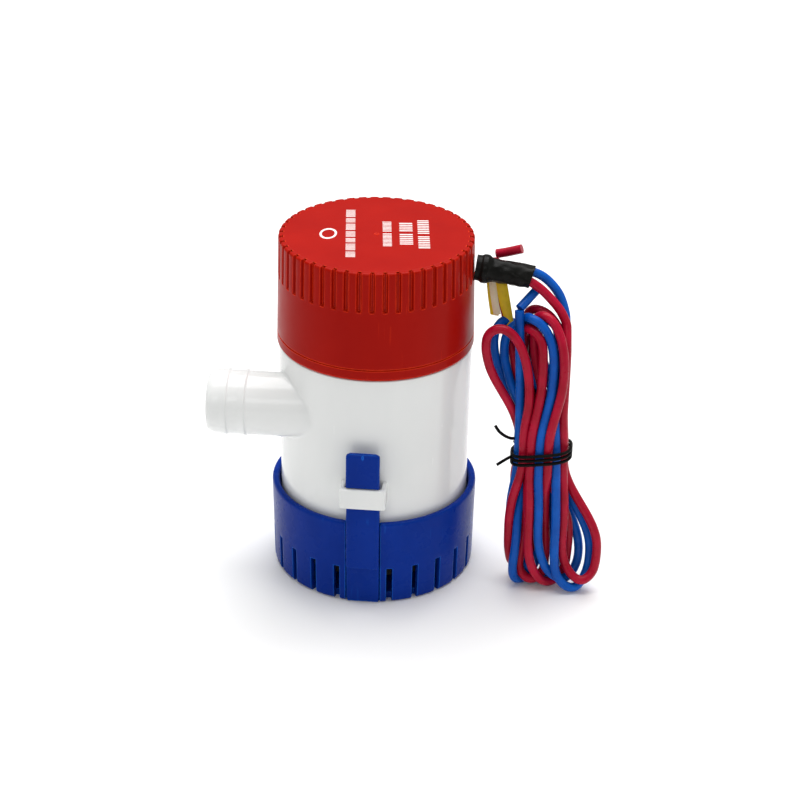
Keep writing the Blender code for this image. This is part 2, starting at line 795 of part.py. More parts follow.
def wire_tag():
    """A folded paper tag that hangs from the red wire's end."""
    outline = [
        (35.9, 97.2), (38.4, 97.2), (39.9, 92.0), (43.6, 83.4), (40.6, 82.6), (38.9, 87.4), (36.6, 86.8),
    ]
    mesh = bmesh.new()
    def place(x, z, lift):
        return (x * MM, (3.4 - (97.4 - z) * 0.36 + lift) * MM, z * MM)
    front = [mesh.verts.new(place(x, z, 0)) for x, z in outline]
    back = [mesh.verts.new(place(x, z, 0.6)) for x, z in outline]
    for index in range(len(outline)):
        after = (index + 1) % len(outline)
        mesh.faces.new((front[index], front[after], back[after], back[index]))
    mesh.faces.new(front)
    mesh.faces.new(back)
    return finished("wire_tag", mesh, TAG_YELLOW)


# ---------------------------------------------------------------- assembly


def joint_parent(name, place, pieces):
    """An empty on a joint's axis that its pieces hang from."""
    axis = bpy.data.objects.new(name, None)
    axis.location = Vector(place) * MM
    bpy.context.scene.collection.objects.link(axis)
    bpy.context.view_layer.update()
    for piece in pieces:
        piece.parent = axis
        piece.matrix_parent_inverse = axis.matrix_world.inverted()
    return axis


def build():
    clear_scene()
    strainer_base()
    joint_parent("front_finger_bend", (0, -31, 2), [latch_finger("latch_finger_front", -1)])
    joint_parent("rear_finger_bend", (0, 31, 2), [latch_finger("latch_finger_rear", 1)])
    rotor = [impeller(), motor_shaft(), armature_core(), armature_windings(), commutator()]
    rotor_axis = joint_parent("rotor_axis", (0, 0, 50), rotor)
    pump = [
        pump_housing(),
        suction_plate(),
        shaft_seal(),
        seal_retainer(),
        motor_cap(),
        cap_seal_ring(),
        motor_can(),
        bush("drive_end_bush", CAN_BOTTOM + 0.2, CAN_BOTTOM + 5.2, 3.7),
        bush("tail_end_bush", BELL_TOP - 4.0, BELL_TOP - 0.4, 3.1),
        magnet("magnet_north", 0),
        magnet("magnet_south", 180),
        end_bell(),
        brush("brush_positive", 1),
        brush("brush_negative", -1),
        brush_spring("brush_spring_positive", 1),
        brush_spring("brush_spring_negative", -1),
        terminal("terminal_positive", 1),
        terminal("terminal_negative", -1),
        inner_lead("inner_lead_red", 1, RED_PVC),
        inner_lead("inner_lead_blue", -1, BLUE_PVC),
        cable_grommet(),
        cable_sleeve(),
        tube("red_lead", smooth_route(RED_LEAD, 3.4), WIRE_R, RED_PVC),
        tube("blue_lead", smooth_route(BLUE_LEAD, 3.4), WIRE_R, BLUE_PVC),
        tube("red_tail", smooth_route(RED_TAIL, 3.4), WIRE_R, RED_PVC),
        tube("red_end_slug", smooth_route(RED_SLUG, 3.0), WIRE_R, RED_PVC),
        tube("blue_end_slug", smooth_route(BLUE_SLUG, 3.0), WIRE_R, BLUE_PVC),
        wire_hank(),
        twist_tie(),
        wire_tag(),
    ]
    joint_parent("pump_lift", (0, 0, HOUSING_FOOT_Z), [*pump, rotor_axis])


build()
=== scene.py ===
"""The bilge pump's visible pieces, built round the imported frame.

Helper arguments are in millimetres. The origin is the middle of the strainer's underside, +Z is up, the
hose outlet points to -X, the latches are on -Y and +Y, and the cable leaves on +X.
"""

import math

import bmesh
import bpy
import numpy as np
from mathutils import Matrix, Vector


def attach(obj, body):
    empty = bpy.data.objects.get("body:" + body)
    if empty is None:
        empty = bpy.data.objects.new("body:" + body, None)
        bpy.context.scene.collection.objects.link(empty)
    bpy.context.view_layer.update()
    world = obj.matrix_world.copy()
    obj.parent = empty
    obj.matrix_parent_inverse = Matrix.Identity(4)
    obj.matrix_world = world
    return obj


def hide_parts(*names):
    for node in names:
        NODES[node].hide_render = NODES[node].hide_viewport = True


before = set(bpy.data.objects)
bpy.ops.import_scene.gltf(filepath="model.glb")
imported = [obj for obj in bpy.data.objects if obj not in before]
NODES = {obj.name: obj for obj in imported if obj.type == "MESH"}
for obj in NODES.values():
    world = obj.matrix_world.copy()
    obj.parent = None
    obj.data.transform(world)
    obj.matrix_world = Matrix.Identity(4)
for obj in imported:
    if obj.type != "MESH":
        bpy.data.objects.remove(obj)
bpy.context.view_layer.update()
MM = 0.001


def linked(name, data):
    """A new object with this data, in the scene."""
    made = bpy.data.objects.new(name, data)
    bpy.context.scene.collection.objects.link(made)
    return made


# ---------------------------------------------------------------- camera, floor and light

CAMERA_PLACE = (64.018, -616.453, 380.743)
CAMERA_AIM = (7.852, 0.715, 55.244)
CAMERA_ROLL = 0.94839
LENS = 100.06
WORLD_STRENGTH = 0.36


def add_camera():
    """A long lens, 28 degrees above the floor, with the horizon tipped by one degree."""
    place = Vector(CAMERA_PLACE) * MM
    aim = Vector(CAMERA_AIM) * MM
    roll = math.radians(CAMERA_ROLL)
    look = (aim - place).normalized()
    right = look.cross(Vector((0, 0, 1))).normalized()
    up = right.cross(look)
    tipped_right = math.cos(roll) * right + math.sin(roll) * up
    tipped_up = -math.sin(roll) * right + math.cos(roll) * up
    matrix = Matrix((tipped_right, tipped_up, -look)).transposed().to_4x4()
    matrix.translation = place
    data = bpy.data.cameras.new("camera")
    data.lens = LENS
    data.sensor_width = 36
    data.clip_start = 0.01
    camera = linked("camera", data)
    camera.matrix_world = matrix
    bpy.context.scene.camera = camera


def soft_light(name, place, aim, size, power):
    """A rectangular soft box. Places are in metres, and the power is in watts."""
    data = bpy.data.lights.new(name, "AREA")
    data.shape = "RECTANGLE"
    data.size, data.size_y = size
    data.energy = power
    light = linked(name, data)
    light.location = place
    light.rotation_euler = (Vector(aim) - Vector(place)).to_track_quat("-Z", "Y").to_euler()


def add_studio():
    """A white world and four soft boxes: most light from above, the rest from the left, right and front."""
    scene = bpy.context.scene
    scene.view_settings.view_transform = "Standard"
    world = bpy.data.worlds.new("studio")
    world.use_nodes = True
    background = world.node_tree.nodes["Background"]
    background.inputs["Color"].default_value = (1.0, 1.0, 1.0, 1)
    background.inputs["Strength"].default_value = WORLD_STRENGTH
    scene.world = world
    middle = (0, 0, 0.05)
    soft_light("top_box", (0.0, 0.25, 0.95), middle, (0.9, 0.9), 12.5)
    soft_light("left_box", (-0.8, -0.35, 0.35), middle, (0.25, 0.8), 0.45)
    soft_light("right_box", (0.75, -0.25, 0.4), middle, (0.22, 0.7), 0.55)
    soft_light("front_box", (-0.1, -0.95, 0.7), middle, (0.6, 0.3), 1.25)


def add_floor():
    """A flat white paper floor, slightly mottled."""
    mesh = bmesh.new()
    bmesh.ops.create_grid(mesh, x_segments=8, y_segments=8, size=2.5)
    data = bpy.data.meshes.new("floor")
    mesh.to_mesh(data)
    mesh.free()
    paint, shader = new_material("floor_paper", 0.6)
    stops = ((0.3, (0.935, 0.935, 0.93)), (0.7, (0.955, 0.955, 0.95)))
    paint.link(ramp(paint, noise(paint, 14, 3), stops), shader, "Base Color")
    data.materials.append(paint.material)
    linked("floor", data)


# ---------------------------------------------------------------- material helpers


class Paint:
    """One node material while it is being put together."""

    def __init__(self, material):
        self.material = material
        self.nodes = material.node_tree.nodes
        self.links = material.node_tree.links

    def add(self, kind, **settings):
        node = self.nodes.new(kind)
        for name, value in settings.items():
            setattr(node, name, value)
        return node

    def link(self, source, node, socket):
        self.links.new(source, node.inputs[socket])


def new_material(name, roughness, metallic=0.0, coat=0.0, coat_roughness=0.1, specular=0.5):
    material = bpy.data.materials.new(name)
    material.use_nodes = True
    shader = material.node_tree.nodes["Principled BSDF"]
    shader.inputs["Roughness"].default_value = roughness
    shader.inputs["Metallic"].default_value = metallic
    shader.inputs["Coat Weight"].default_value = coat
    shader.inputs["Coat Roughness"].default_value = coat_roughness
    shader.inputs["Specular IOR Level"].default_value = specular
    return Paint(material), shader


def place_of(paint):
    """Object coordinates, in metres."""
    for node in paint.nodes:
        if node.type == "TEX_COORD":
            return node.outputs["Object"]
    return paint.add("ShaderNodeTexCoord").outputs["Object"]


def stretched(paint, scale):
    """Object coordinates scaled by a different amount along each axis."""
    mapping = paint.add("ShaderNodeMapping")
    mapping.inputs["Scale"].default_value = scale
    paint.link(place_of(paint), mapping, "Vector")
    return mapping.outputs["Vector"]


def noise(paint, per_metre, detail, roughness=0.55, vector=None):
    node = paint.add("ShaderNodeTexNoise")
    node.inputs["Scale"].default_value = per_metre
    node.inputs["Detail"].default_value = detail
    node.inputs["Roughness"].default_value = roughness
    paint.link(vector or place_of(paint), node, "Vector")
    return node.outputs["Fac"]


def ramp(paint, value, stops):
    """Colour stops of (position, (r, g, b)) driven by a value."""
    node = paint.add("ShaderNodeValToRGB")
    elements = node.color_ramp.elements
    while len(elements) < len(stops):
        elements.new(0.5)
    for element, (position, colour) in zip(elements, stops):
        element.position = position
        element.color = (*colour, 1)
    paint.link(value, node, "Fac")
    return node.outputs["Color"]


def between(paint, value, low, high, from_low=0.3, from_high=0.7):
    """The value mapped onto low to high."""
    node = paint.add("ShaderNodeMapRange")
    node.inputs["From Min"].default_value = from_low
    node.inputs["From Max"].default_value = from_high
    node.inputs["To Min"].default_value = low
    node.inputs["To Max"].default_value = high
    paint.link(value, node, "Value")
    return node.outputs["Result"]


def mixed(paint, share, first, second):
    """Two colours mixed; each is a socket or an (r, g, b) tuple."""
    node = paint.add("ShaderNodeMix", data_type="RGBA")
    paint.link(share, node, 0)
    for socket, colour in ((6, first), (7, second)):
        if isinstance(colour, tuple):
            node.inputs[socket].default_value = (*colour, 1)
        else:
            paint.links.new(colour, node.inputs[socket])
    return node.outputs[2]


def maths(paint, operation, first, second):
    node = paint.add("ShaderNodeMath", operation=operation)
    for socket, value in ((0, first), (1, second)):
        if isinstance(value, (int, float)):
            node.inputs[socket].default_value = value
        else:
            paint.links.new(value, node.inputs[socket])
    return node.outputs[0]


def edge_share(paint, radius, gain):
    """0 on flats and up to 1 within about radius millimetres of an edge."""
    rounded = paint.add("ShaderNodeBevel", samples=6)
    rounded.inputs["Radius"].default_value = radius * MM
    geometry = paint.add("ShaderNodeNewGeometry")
    dot = paint.add("ShaderNodeVectorMath", operation="DOT_PRODUCT")
    paint.link(rounded.outputs["Normal"], dot, 0)
    paint.link(geometry.outputs["Normal"], dot, 1)
    away = maths(paint, "SUBTRACT", 1.0, dot.outputs["Value"])
    node = paint.add("ShaderNodeMath", operation="MULTIPLY", use_clamp=True)
    paint.links.new(away, node.inputs[0])
    node.inputs[1].default_value = gain
    return node.outputs[0]


def bump(paint, shader, *layers):
    """Stacks bump layers of (height socket, depth in millimetres, strength)."""
    normal = None
    for height, depth, strength in layers:
        node = paint.add("ShaderNodeBump")
        node.inputs["Distance"].default_value = depth * MM
        node.inputs["Strength"].default_value = strength
        paint.link(height, node, "Height")
        if normal:
            paint.link(normal, node, "Normal")
        normal = node.outputs["Normal"]
    paint.link(normal, shader, "Normal")


def scratches(paint, per_metre):
    """Fine broken lines along Z, 0 almost everywhere and 1 in a scratch."""
    lines = noise(paint, per_metre, 1.0, 0.4, stretched(paint, (1, 1, 0.06)))
    thin = between(paint, lines, 0, 1, 0.70, 0.74)
    breaks = between(paint, noise(paint, per_metre * 0.12, 2), 0, 1, 0.52, 0.6)
    return maths(paint, "MULTIPLY", thin, breaks)


# ---------------------------------------------------------------- materials


def moulded_plastic(name, colours, roughness, edge_radius=0.45, edge_gain=4.0, coat=0.0, specular=0.5):
    """Injection-moulded plastic: faint flow marks, orange peel, edges lightened by painted highlight and
    partly by wear, and a few handling marks.
    """
    dark, light, edge = colours
    paint, shader = new_material(name, roughness, coat=coat, coat_roughness=0.08, specular=specular)
    clouds = noise(paint, 28, 3)
    flow = noise(paint, 90, 3, 0.5, stretched(paint, (1, 1, 0.3)))
    mottle = maths(paint, "MULTIPLY", maths(paint, "ADD", clouds, flow), 0.5)
    body = ramp(paint, mottle, ((0.35, dark), (0.65, light)))
    # The third colour lightens the edges in patches: painted highlight where edges catch the light, partly
    # real wear; the scratches use it too.
    sheen_and_wear_patches = between(paint, noise(paint, 260, 3), 0.55, 1.0)
    lit_and_worn_edges = maths(paint, "MULTIPLY", edge_share(paint, edge_radius, edge_gain), sheen_and_wear_patches)
    marks = scratches(paint, 900)
    tinted = mixed(paint, lit_and_worn_edges, body, edge)
    paint.link(mixed(paint, maths(paint, "MULTIPLY", marks, 0.12), tinted, edge), shader, "Base Color")
    rough = between(paint, noise(paint, 160, 4), roughness * 0.88, roughness * 1.15)
    paint.link(maths(paint, "ADD", rough, maths(paint, "MULTIPLY", marks, 0.12)), shader, "Roughness")
    bump(
        paint,
        shader,
        (noise(paint, 60, 1), 0.10, 0.35),
        (noise(paint, 420, 2), 0.02, 0.22),
        (noise(paint, 4200, 2), 0.004, 0.25),
        (marks, 0.01, 0.2),
    )
    return paint.material


def red_plastic():
    # The third colour, a bright orange-red, is painted highlight and some wear on the ribs' edges.
    colours = (0.335, 0.0035, 0.001), (0.385, 0.0055, 0.0015), (0.95, 0.055, 0.012)
    return moulded_plastic("cap_red_plastic", colours, 0.32, 0.5, 9.0, specular=0.06)


def white_plastic():
    # The third colour is painted highlight and some wear on the edges.
    colours = (0.795, 0.81, 0.80), (0.84, 0.85, 0.84), (0.9, 0.9, 0.89)
    return moulded_plastic("housing_white_plastic", colours, 0.16, 0.4, 2.0, 0.1, 0.36)


def blue_plastic():
    # The third colour, a light blue, is painted highlight and some wear on the edges, such as round the
    # fingers' heads.
    colours = (0.0012, 0.0225, 0.225), (0.0028, 0.031, 0.285), (0.014, 0.16, 0.72)
    return moulded_plastic("strainer_blue_plastic", colours, 0.28, 0.5, 8.0, specular=0.06)


def dark_plastic():
    # The third colour is painted highlight and some wear on the edges.
    colours = (0.02, 0.02, 0.022), (0.035, 0.035, 0.037), (0.08, 0.08, 0.085)
    return moulded_plastic("dark_glass_nylon", colours, 0.45)


def wire_pvc(name, deep, bright):
    """Glossy soft PVC with a slightly uneven surface, small scuffs and colour that varies along it."""
    paint, shader = new_material(name, 0.3, specular=0.16)
    patches = noise(paint, 120, 3)
    base = ramp(paint, patches, ((0.3, deep), (0.72, bright)))
    scuffs = between(paint, noise(paint, 900, 2, 0.6), 0, 1, 0.66, 0.8)
    paint.link(mixed(paint, maths(paint, "MULTIPLY", scuffs, 0.18), base, bright), shader, "Base Color")
    paint.link(between(paint, noise(paint, 500, 4), 0.24, 0.4), shader, "Roughness")
    bump(paint, shader, (noise(paint, 350, 2), 0.06, 0.4), (noise(paint, 2600, 3), 0.01, 0.35))
    return paint.material


def red_pvc():
    return wire_pvc("red_wire_pvc", (0.32, 0.002, 0.016), (0.50, 0.005, 0.036))


def blue_pvc():
    return wire_pvc("blue_wire_pvc", (0.001, 0.065, 0.36), (0.002, 0.115, 0.54))


def patchy(name, patches, stops, shine, bumps, specular=0.5):
    """A finish whose colour, shine and surface vary in patches.

    patches: noise of (per metre, detail, roughness) that drives the colour stops. shine: noise of (per metre,
    detail) and the two roughnesses it runs between. bumps: (per metre, detail, depth, strength), where None
    for the first two means the patches.
    """
    paint, shader = new_material(name, 0.5, specular=specular)
    base = noise(paint, *patches)
    paint.link(ramp(paint, base, stops), shader, "Base Color")
    per_metre, detail, low, high = shine
    paint.link(between(paint, noise(paint, per_metre, detail), low, high), shader, "Roughness")
    layers = [(noise(paint, a, b) if a else base, depth, strength) for a, b, depth, strength in bumps]
    bump(paint, shader, *layers)
    return paint.material


def shrink_black():
    """Heat-shrink tubing: shiny where it is pulled tight and wrinkled between."""
    stops = ((0.3, (0.003, 0.003, 0.0026)), (0.7, (0.007, 0.007, 0.006)))
    bumps = ((420, 3, 0.25, 0.6), (1800, 3, 0.05, 0.4))
    return patchy("heat_shrink_black", (180, 4), stops, (320, 3, 0.2, 0.5), bumps, 0.09)


def tie_black():
    stops = ((0.3, (0.002, 0.002, 0.002)), (0.7, (0.006, 0.006, 0.006)))
    return patchy("tie_black_pvc", (400, 3), stops, (900, 3, 0.3, 0.55), ((1500, 3, 0.05, 0.5),), 0.07)


def rubber():
    stops = ((0.3, (0.006, 0.006, 0.006)), (0.7, (0.014, 0.014, 0.014)))
    return patchy("black_rubber_matt", (260, 4), stops, (700, 4, 0.55, 0.85), ((2400, 3, 0.02, 0.5),), 0.12)


def pressed_powder(name, dark, light, roughness):
    """Ferrite or carbon: matt, speckled and a little chipped."""
    shine = (200, 3, roughness * 0.85, roughness * 1.15)
    bumps = ((None, None, 0.02, 0.5), (420, 3, 0.08, 0.3))
    return patchy(name, (2200, 4, 0.7), ((0.35, dark), (0.7, light)), shine, bumps)


def ferrite():
    return pressed_powder("ferrite_grey", (0.03, 0.03, 0.034), (0.07, 0.07, 0.075), 0.6)


def carbon():
    return pressed_powder("carbon_brush", (0.02, 0.02, 0.02), (0.06, 0.06, 0.06), 0.5)


def print_ink():
    """White pad-print ink, thin enough for the plastic to show at its edges."""
    stops = ((0.25, (0.78, 0.56, 0.54)), (0.5, (0.88, 0.84, 0.82)))
    return patchy("white_pad_print", (900, 4, 0.65), stops, (300, 3, 0.35, 0.55), ((None, None, 0.01, 0.4),))


def paper(name, dark, light):
    """Thin card with fibres and small creases."""
    paint, shader = new_material(name, 0.6)
    fibres = noise(paint, 1600, 4, 0.7, stretched(paint, (1, 1, 0.25)))
    blotches = noise(paint, 170, 3)
    both = maths(paint, "MULTIPLY", maths(paint, "ADD", fibres, blotches), 0.5)
    paint.link(ramp(paint, both, ((0.35, dark), (0.62, light))), shader, "Base Color")
    paint.link(between(paint, blotches, 0.45, 0.7), shader, "Roughness")
    bump(paint, shader, (fibres, 0.03, 0.5), (noise(paint, 260, 2), 0.2, 0.4))
    shader.inputs["Subsurface Weight"].default_value = 0.1
    shader.inputs["Subsurface Scale"].default_value = 0.4 * MM
    return paint.material


def cream_paper():
    return paper("tag_cream_card", (0.88, 0.74, 0.48), (0.95, 0.86, 0.64))


def yellow_paper():
    return paper("tag_yellow_card", (0.72, 0.5, 0.002), (0.86, 0.64, 0.01))


def metal(name, dark, light, roughness, grain):
    """Machined or drawn metal with fine lines across its grain and duller patches."""
    paint, shader = new_material(name, roughness, metallic=1.0)
    lines = noise(paint, 1200, 3, 0.6, stretched(paint, grain))
    stains = noise(paint, 130, 4)
    paint.link(ramp(paint, stains, ((0.3, dark), (0.7, light))), shader, "Base Color")
    paint.link(between(paint, stains, roughness * 1.35, roughness * 0.8), shader, "Roughness")
    bump(paint, shader, (lines, 0.01, 0.4), (noise(paint, 300, 2), 0.02, 0.2))
    return paint.material


def ground_steel():
    return metal("ground_steel", (0.42, 0.42, 0.43), (0.6, 0.6, 0.61), 0.28, (1, 1, 20))


def zinc_plate():
    return metal("zinc_plated_steel", (0.48, 0.49, 0.48), (0.64, 0.64, 0.61), 0.36, (1, 1, 2))


def sintered_bronze():
    return metal("sintered_bronze_porous", (0.3, 0.17, 0.08), (0.48, 0.29, 0.13), 0.52, (1, 1, 1))


def brass_sheet():
    return metal("brass_sheet", (0.55, 0.37, 0.13), (0.72, 0.52, 0.22), 0.3, (6, 1, 1))


def enamelled_copper():
    return metal("enamelled_copper", (0.42, 0.13, 0.05), (0.62, 0.24, 0.11), 0.27, (1, 1, 9))


MADE = {}


def finish_of(make):
    """Each material is made once."""
    if make not in MADE:
        MADE[make] = make()
    return MADE[make]


# ---------------------------------------------------------------- mesh helpers


def piece(name, data, body, make, replaced=(), sharp=40):
    """Links a visible piece: a curve, a mesh or (points, faces), shaded smooth up to the sharp angle."""
    if isinstance(data, tuple):
        data = mesh_data(name, *data)
    if isinstance(data, bpy.types.Mesh):
        data.shade_smooth()
        data.set_sharp_from_angle(angle=math.radians(sharp))
    data.materials.clear()
    data.materials.append(finish_of(make))
    made = linked(name, data)
    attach(made, body)
    if replaced:
        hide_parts(*replaced)
    return made


def mesh_data(name, points, faces):
    """A mesh from points in millimetres, with its faces turned outwards."""
    data = bpy.data.meshes.new(name)
    data.from_pydata([tuple(float(v) * MM for v in p) for p in points], [], faces)
    mesh = bmesh.new()
    mesh.from_mesh(data)
    bmesh.ops.remove_doubles(mesh, verts=mesh.verts[:], dist=1e-7)
    bmesh.ops.recalc_face_normals(mesh, faces=mesh.faces[:])
    mesh.to_mesh(data)
    mesh.free()
    return data


def skin(rings, wrap_rings=False, caps=False):
    """(points, faces) of a skin over rings with the same number of points; caps closes both ends."""
    rings = np.asarray(rings, float)
    count, size = rings.shape[:2]
    faces = []
    for i in range(count if wrap_rings else count - 1):
        j = (i + 1) % count
        for k in range(size):
            m = (k + 1) % size
            faces.append((i * size + k, i * size + m, j * size + m, j * size + k))
    if caps:
        faces.append(tuple(range(size - 1, -1, -1)))
        faces.append(tuple((count - 1) * size + k for k in range(size)))
    return rings.reshape(-1, 3), faces


def joined(*parts):
    """Several (points, faces) as one."""
    points, faces, base = [], [], 0
    for some_points, some_faces in parts:
        points.append(np.asarray(some_points, float))
        faces += [tuple(base + i for i in face) for face in some_faces]
        base += len(some_points)
    return np.concatenate(points), faces


def rounded(line, sizes, steps=4, closed=True):
    """The line with each corner rounded off by about its own size; sizes is a number or a dict by index."""
    line = [np.array(p, float) for p in line]
    made = []
    for i, here in enumerate(line):
        size = sizes.get(i, sizes.get("rest", 0)) if isinstance(sizes, dict) else sizes
        if not closed and i in (0, len(line) - 1):
            size = 0
        before, after = line[i - 1], line[(i + 1) % len(line)]
        back, on = before - here, after - here
        reach = min(size, 0.48 * np.linalg.norm(back), 0.48 * np.linalg.norm(on))
        if reach <= 1e-6:
            made.append(here)
            continue
        start = here + back / np.linalg.norm(back) * reach
        end = here + on / np.linalg.norm(on) * reach
        for step in range(steps + 1):
            t = step / steps
            made.append(start * (1 - t) ** 2 + here * 2 * t * (1 - t) + end * t * t)
    return np.array(made)


def subdivided(line, longest, closed=True):
    """Extra points so that no step is longer than longest."""
    made = []
    count = len(line)
    for i in range(count if closed else count - 1):
        start, end = line[i], line[(i + 1) % count]
        parts = max(1, math.ceil(np.linalg.norm(end - start) / longest))
        made += [start + (end - start) * k / parts for k in range(parts)]
    if not closed:
        made.append(line[-1])
    return np.array(made)


def turned_skin(profile, steps):
    """A closed (radius, height) profile turned about Z."""
    profile = np.asarray(profile, float)
    angles = np.arange(steps) * math.tau / steps
    rings = [np.stack([r * np.cos(angles), r * np.sin(angles), np.full(steps, z)], 1) for r, z in profile]
    return skin(rings, wrap_rings=True)


def about_z(points, degrees):
    """The points turned about the Z axis."""
    angle = math.radians(degrees)
    c, s = math.cos(angle), math.sin(angle)
    points = np.asarray(points, float)
    return points @ np.array([[c, s, 0], [-s, c, 0], [0, 0, 1]])


def box_skin(low, high):
    """A plain box, for a cutter or as the start of a piece."""
    x0, y0, z0 = low
    x1, y1, z1 = high
    ring = [(x0, y0), (x1, y0), (x1, y1), (x0, y1)]
    return skin([[(x, y, z0) for x, y in ring], [(x, y, z1) for x, y in ring]], caps=True)


def helper_object(name, part):
    return linked(name, mesh_data(name, *part))


def evaluated_copy(made, name):
    """The object's mesh with its modifiers applied; the object itself is removed."""
    graph = bpy.context.evaluated_depsgraph_get()
    data = bpy.data.meshes.new_from_object(made.evaluated_get(graph))
    data.name = name
    bpy.data.objects.remove(made, do_unlink=True)
    return data


def boolean(made, operation, other):
    modifier = made.modifiers.new("shape", "BOOLEAN")
    modifier.operation = operation
    modifier.solver = "EXACT"
    modifier.object = other


def shaped(name, part, *steps):
    """The mesh of a part after Boolean steps of (operation, part), one after another."""
    made = helper_object(name + "_blank", part)
    others = [helper_object(f"{name}_tool_{i}", other) for i, (_, other) in enumerate(steps)]
    for (operation, _), other in zip(steps, others):
        boolean(made, operation, other)
    data = evaluated_copy(made, name)
    for other in others:
        bpy.data.objects.remove(other, do_unlink=True)
    return data


def softened(data, width, segments, angle):
    """The mesh with its edges rounded."""
    made = linked("soften", data)
    modifier = made.modifiers.new("edges", "BEVEL")
    modifier.width = width * MM
    modifier.segments = segments
    modifier.limit_method = "ANGLE"
    modifier.angle_limit = math.radians(angle)
    modifier.use_clamp_overlap = True
    return evaluated_copy(made, data.name)


# ---------------------------------------------------------------- wires

WIRE_R = 1.43
TIE_Z = 46.3
TIE_X = 53.2
# The wires' centre lines keep this far from the tie's middle in x and y, within this height of it.
TIE_HOLD = (7.3, 4.8)
TIE_HALF_HEIGHT = 3.5
# The distance between two points of a wire's line, and the least one between two wires.
WIRE_STEP = 1.8
WIRE_GAP = 2.88
# The tightest bend at a fold's tip.
FOLD_R = 4.6
# How the wires settle: rounds, points held at the lead and at the tail, and the pull back to the drawn route.
SETTLE_ROUNDS = 220
LEAD_POINTS = 14
TAIL_POINTS = 10
PULL_EARLY = 0.02
PULL_LATE = 0.004
# Points of one wire that are nearer along it than this don't push each other.
NEIGHBOURS = 6
RED_LEAD = [(41.5, -0.9, 101.1), (44.6, -1.2, 100.6), (47.6, -1.5, 99.3), (50.6, -1.9, 97.4)]
RED_LEAD += [(53.7, -2.6, 94.6), (56.6, -3.6, 91.6), (58.9, -4.8, 87.6)]
BLUE_LEAD = [(41.8, 0.9, 101.7), (44.8, 1.1, 101.9), (47.9, 1.2, 101.6), (50.6, 1.4, 100.4)]
BLUE_LEAD += [(53.6, 1.2, 97.9), (56.4, 0.4, 94.4), (57.8, -0.7, 90.9)]
RED_TAIL = [(44.6, -5.4, 67.0), (43.4, -2.4, 75.0), (41.2, 1.2, 83.0), (39.0, 3.6, 89.4)]
RED_TAIL += [(37.4, 5.4, 94.6), (36.2, 6.9, 99.2), (35.7, 7.2, 102.6)]
BLUE_TAIL = [(45.6, -9.2, 60.0), (45.3, -8.4, 75.0), (44.8, -7.6, 85.0)]
BLUE_TAIL += [(44.5, -6.9, 90.0), (44.4, -6.5, 92.1)]
RED_SLUG = [(36.3, 6.7, 104.6), (38.6, 6.2, 105.3), (41.6, 5.6, 106.4), (44.0, 5.2, 107.3)]
BLUE_SLUG = [(44.4, -5.5, 92.3), (45.9, -3.7, 93.5), (48.0, -1.2, 95.2), (49.9, 0.9, 96.8)]

# The hank's outline as (z, x), bottom first.
HANK_LEFT = [(0, 46.6), (2.5, 45.4), (9, 43.6), (18, 42.3), (32, 43.2)]
HANK_LEFT += [(42, 44.4), (48, 44.4), (58, 40.6), (69, 35.8), (80, 33.4)]
HANK_RIGHT = [(2, 70.5), (6.6, 73.0), (15.0, 74.2), (25, 71.8), (34, 66.4), (42, 62.4)]
HANK_RIGHT += [(48, 61.6), (58, 60.8), (70, 60.9), (80, 60.9), (88, 60.4)]

# Where each run crosses the tie: x, and the distance behind the middle of the hank.
RED_RUNS = [(60.6, -1.4), (60.6, 1.6), (48.9, -1.3), (55.7, -3.6), (54.8, -1.0)]
RED_RUNS += [(49.9, -4.0), (51.8, -1.4), (47.2, -3.3), (45.8, 1.7), (50.2, 3.9)]
BLUE_RUNS = [(58.4, -3.4), (57.9, 2.8), (52.9, -4.1), (56.0, 4.3), (47.3, 4.0)]
BLUE_RUNS += [(53.1, 3.9), (48.7, 1.2), (51.6, 1.2), (57.4, -0.4), (45.7, -1.0)]
# Each fold: the leg in, the tip and the leg out, as (x, z, distance behind the middle of the hank).
RED_FOLDS = [
    ((61.4, 26, -2.4), (68.4, 4.6, -4.6), (72.7, 16, -2.0)),
    ((60.4, 74, 0.8), (50.6, 90.9, 3.4), (47.0, 80, 5.6)),
    ((47.6, 14, -1.2), (51.2, 1.8, -2.4), (55.4, 33, -1.4)),
    ((58.6, 72, -3.0), (50.0, 90.2, 0.4), (46.8, 80, 2.4)),
    ((62.8, 21, 1.6), (58.0, 2.2, -0.6), (50.4, 33, -4.2)),
    ((52.5, 70, -3.7), (47.9, 87.4, -1.2), (46.4, 80, 3.4)),
    ((52.4, 18, 5.0), (48.6, 5.4, 3.4), (45.3, 30, -2.4)),
    ((48.6, 64, -3.7), (38.2, 87.4, -3.2), (35.2, 82.5, -3.2)),
    ((46.6, 20, 4.4), (50.5, 5.0, 5.2), (54.6, 22, 4.8)),
]
BLUE_FOLDS = [
    ((58.9, 24, -4.2), (65.4, 1.5, -3.6), (69.8, 13, 0.8)),
    ((45.2, 80, 1.8), (47.6, 90.3, -1.8), (55.6, 70, -3.4)),
    ((53.4, 27, -3.9), (61.8, 3.4, -1.0), (66.1, 13, 2.8)),
    ((42.4, 76, 8.0), (40.2, 85.3, 8.4), (38.4, 80.0, 6.4)),
    ((46.0, 20, -2.3), (49.0, 1.5, 0.4), (53.2, 14, 4.2)),
    ((50.8, 66, 3.2), (45.6, 85.2, 4.6), (40.3, 76, 3.6)),
    ((50.2, 22, 4.6), (53.6, 6.5, 6.4), (57.2, 20, 4.4)),
    ((54.8, 66, 4.4), (51.4, 86.5, 5.4), (48.6, 78, 4.6)),
    ((58.6, 14, 3.8), (54.2, 1.6, 2.6), (44.0, 22, -0.2)),
]


def hank_y(z):
    """The hank leans: its foot is further forward than its top."""
    return -6.6 - (92.0 - z) * 0.08


def hank_sides(z):
    """How far left and right the wires' centre lines may lie at each height."""
    left = np.interp(z, *zip(*HANK_LEFT)) + WIRE_R
    right = np.interp(z, *zip(*HANK_RIGHT)) - WIRE_R
    return left, right


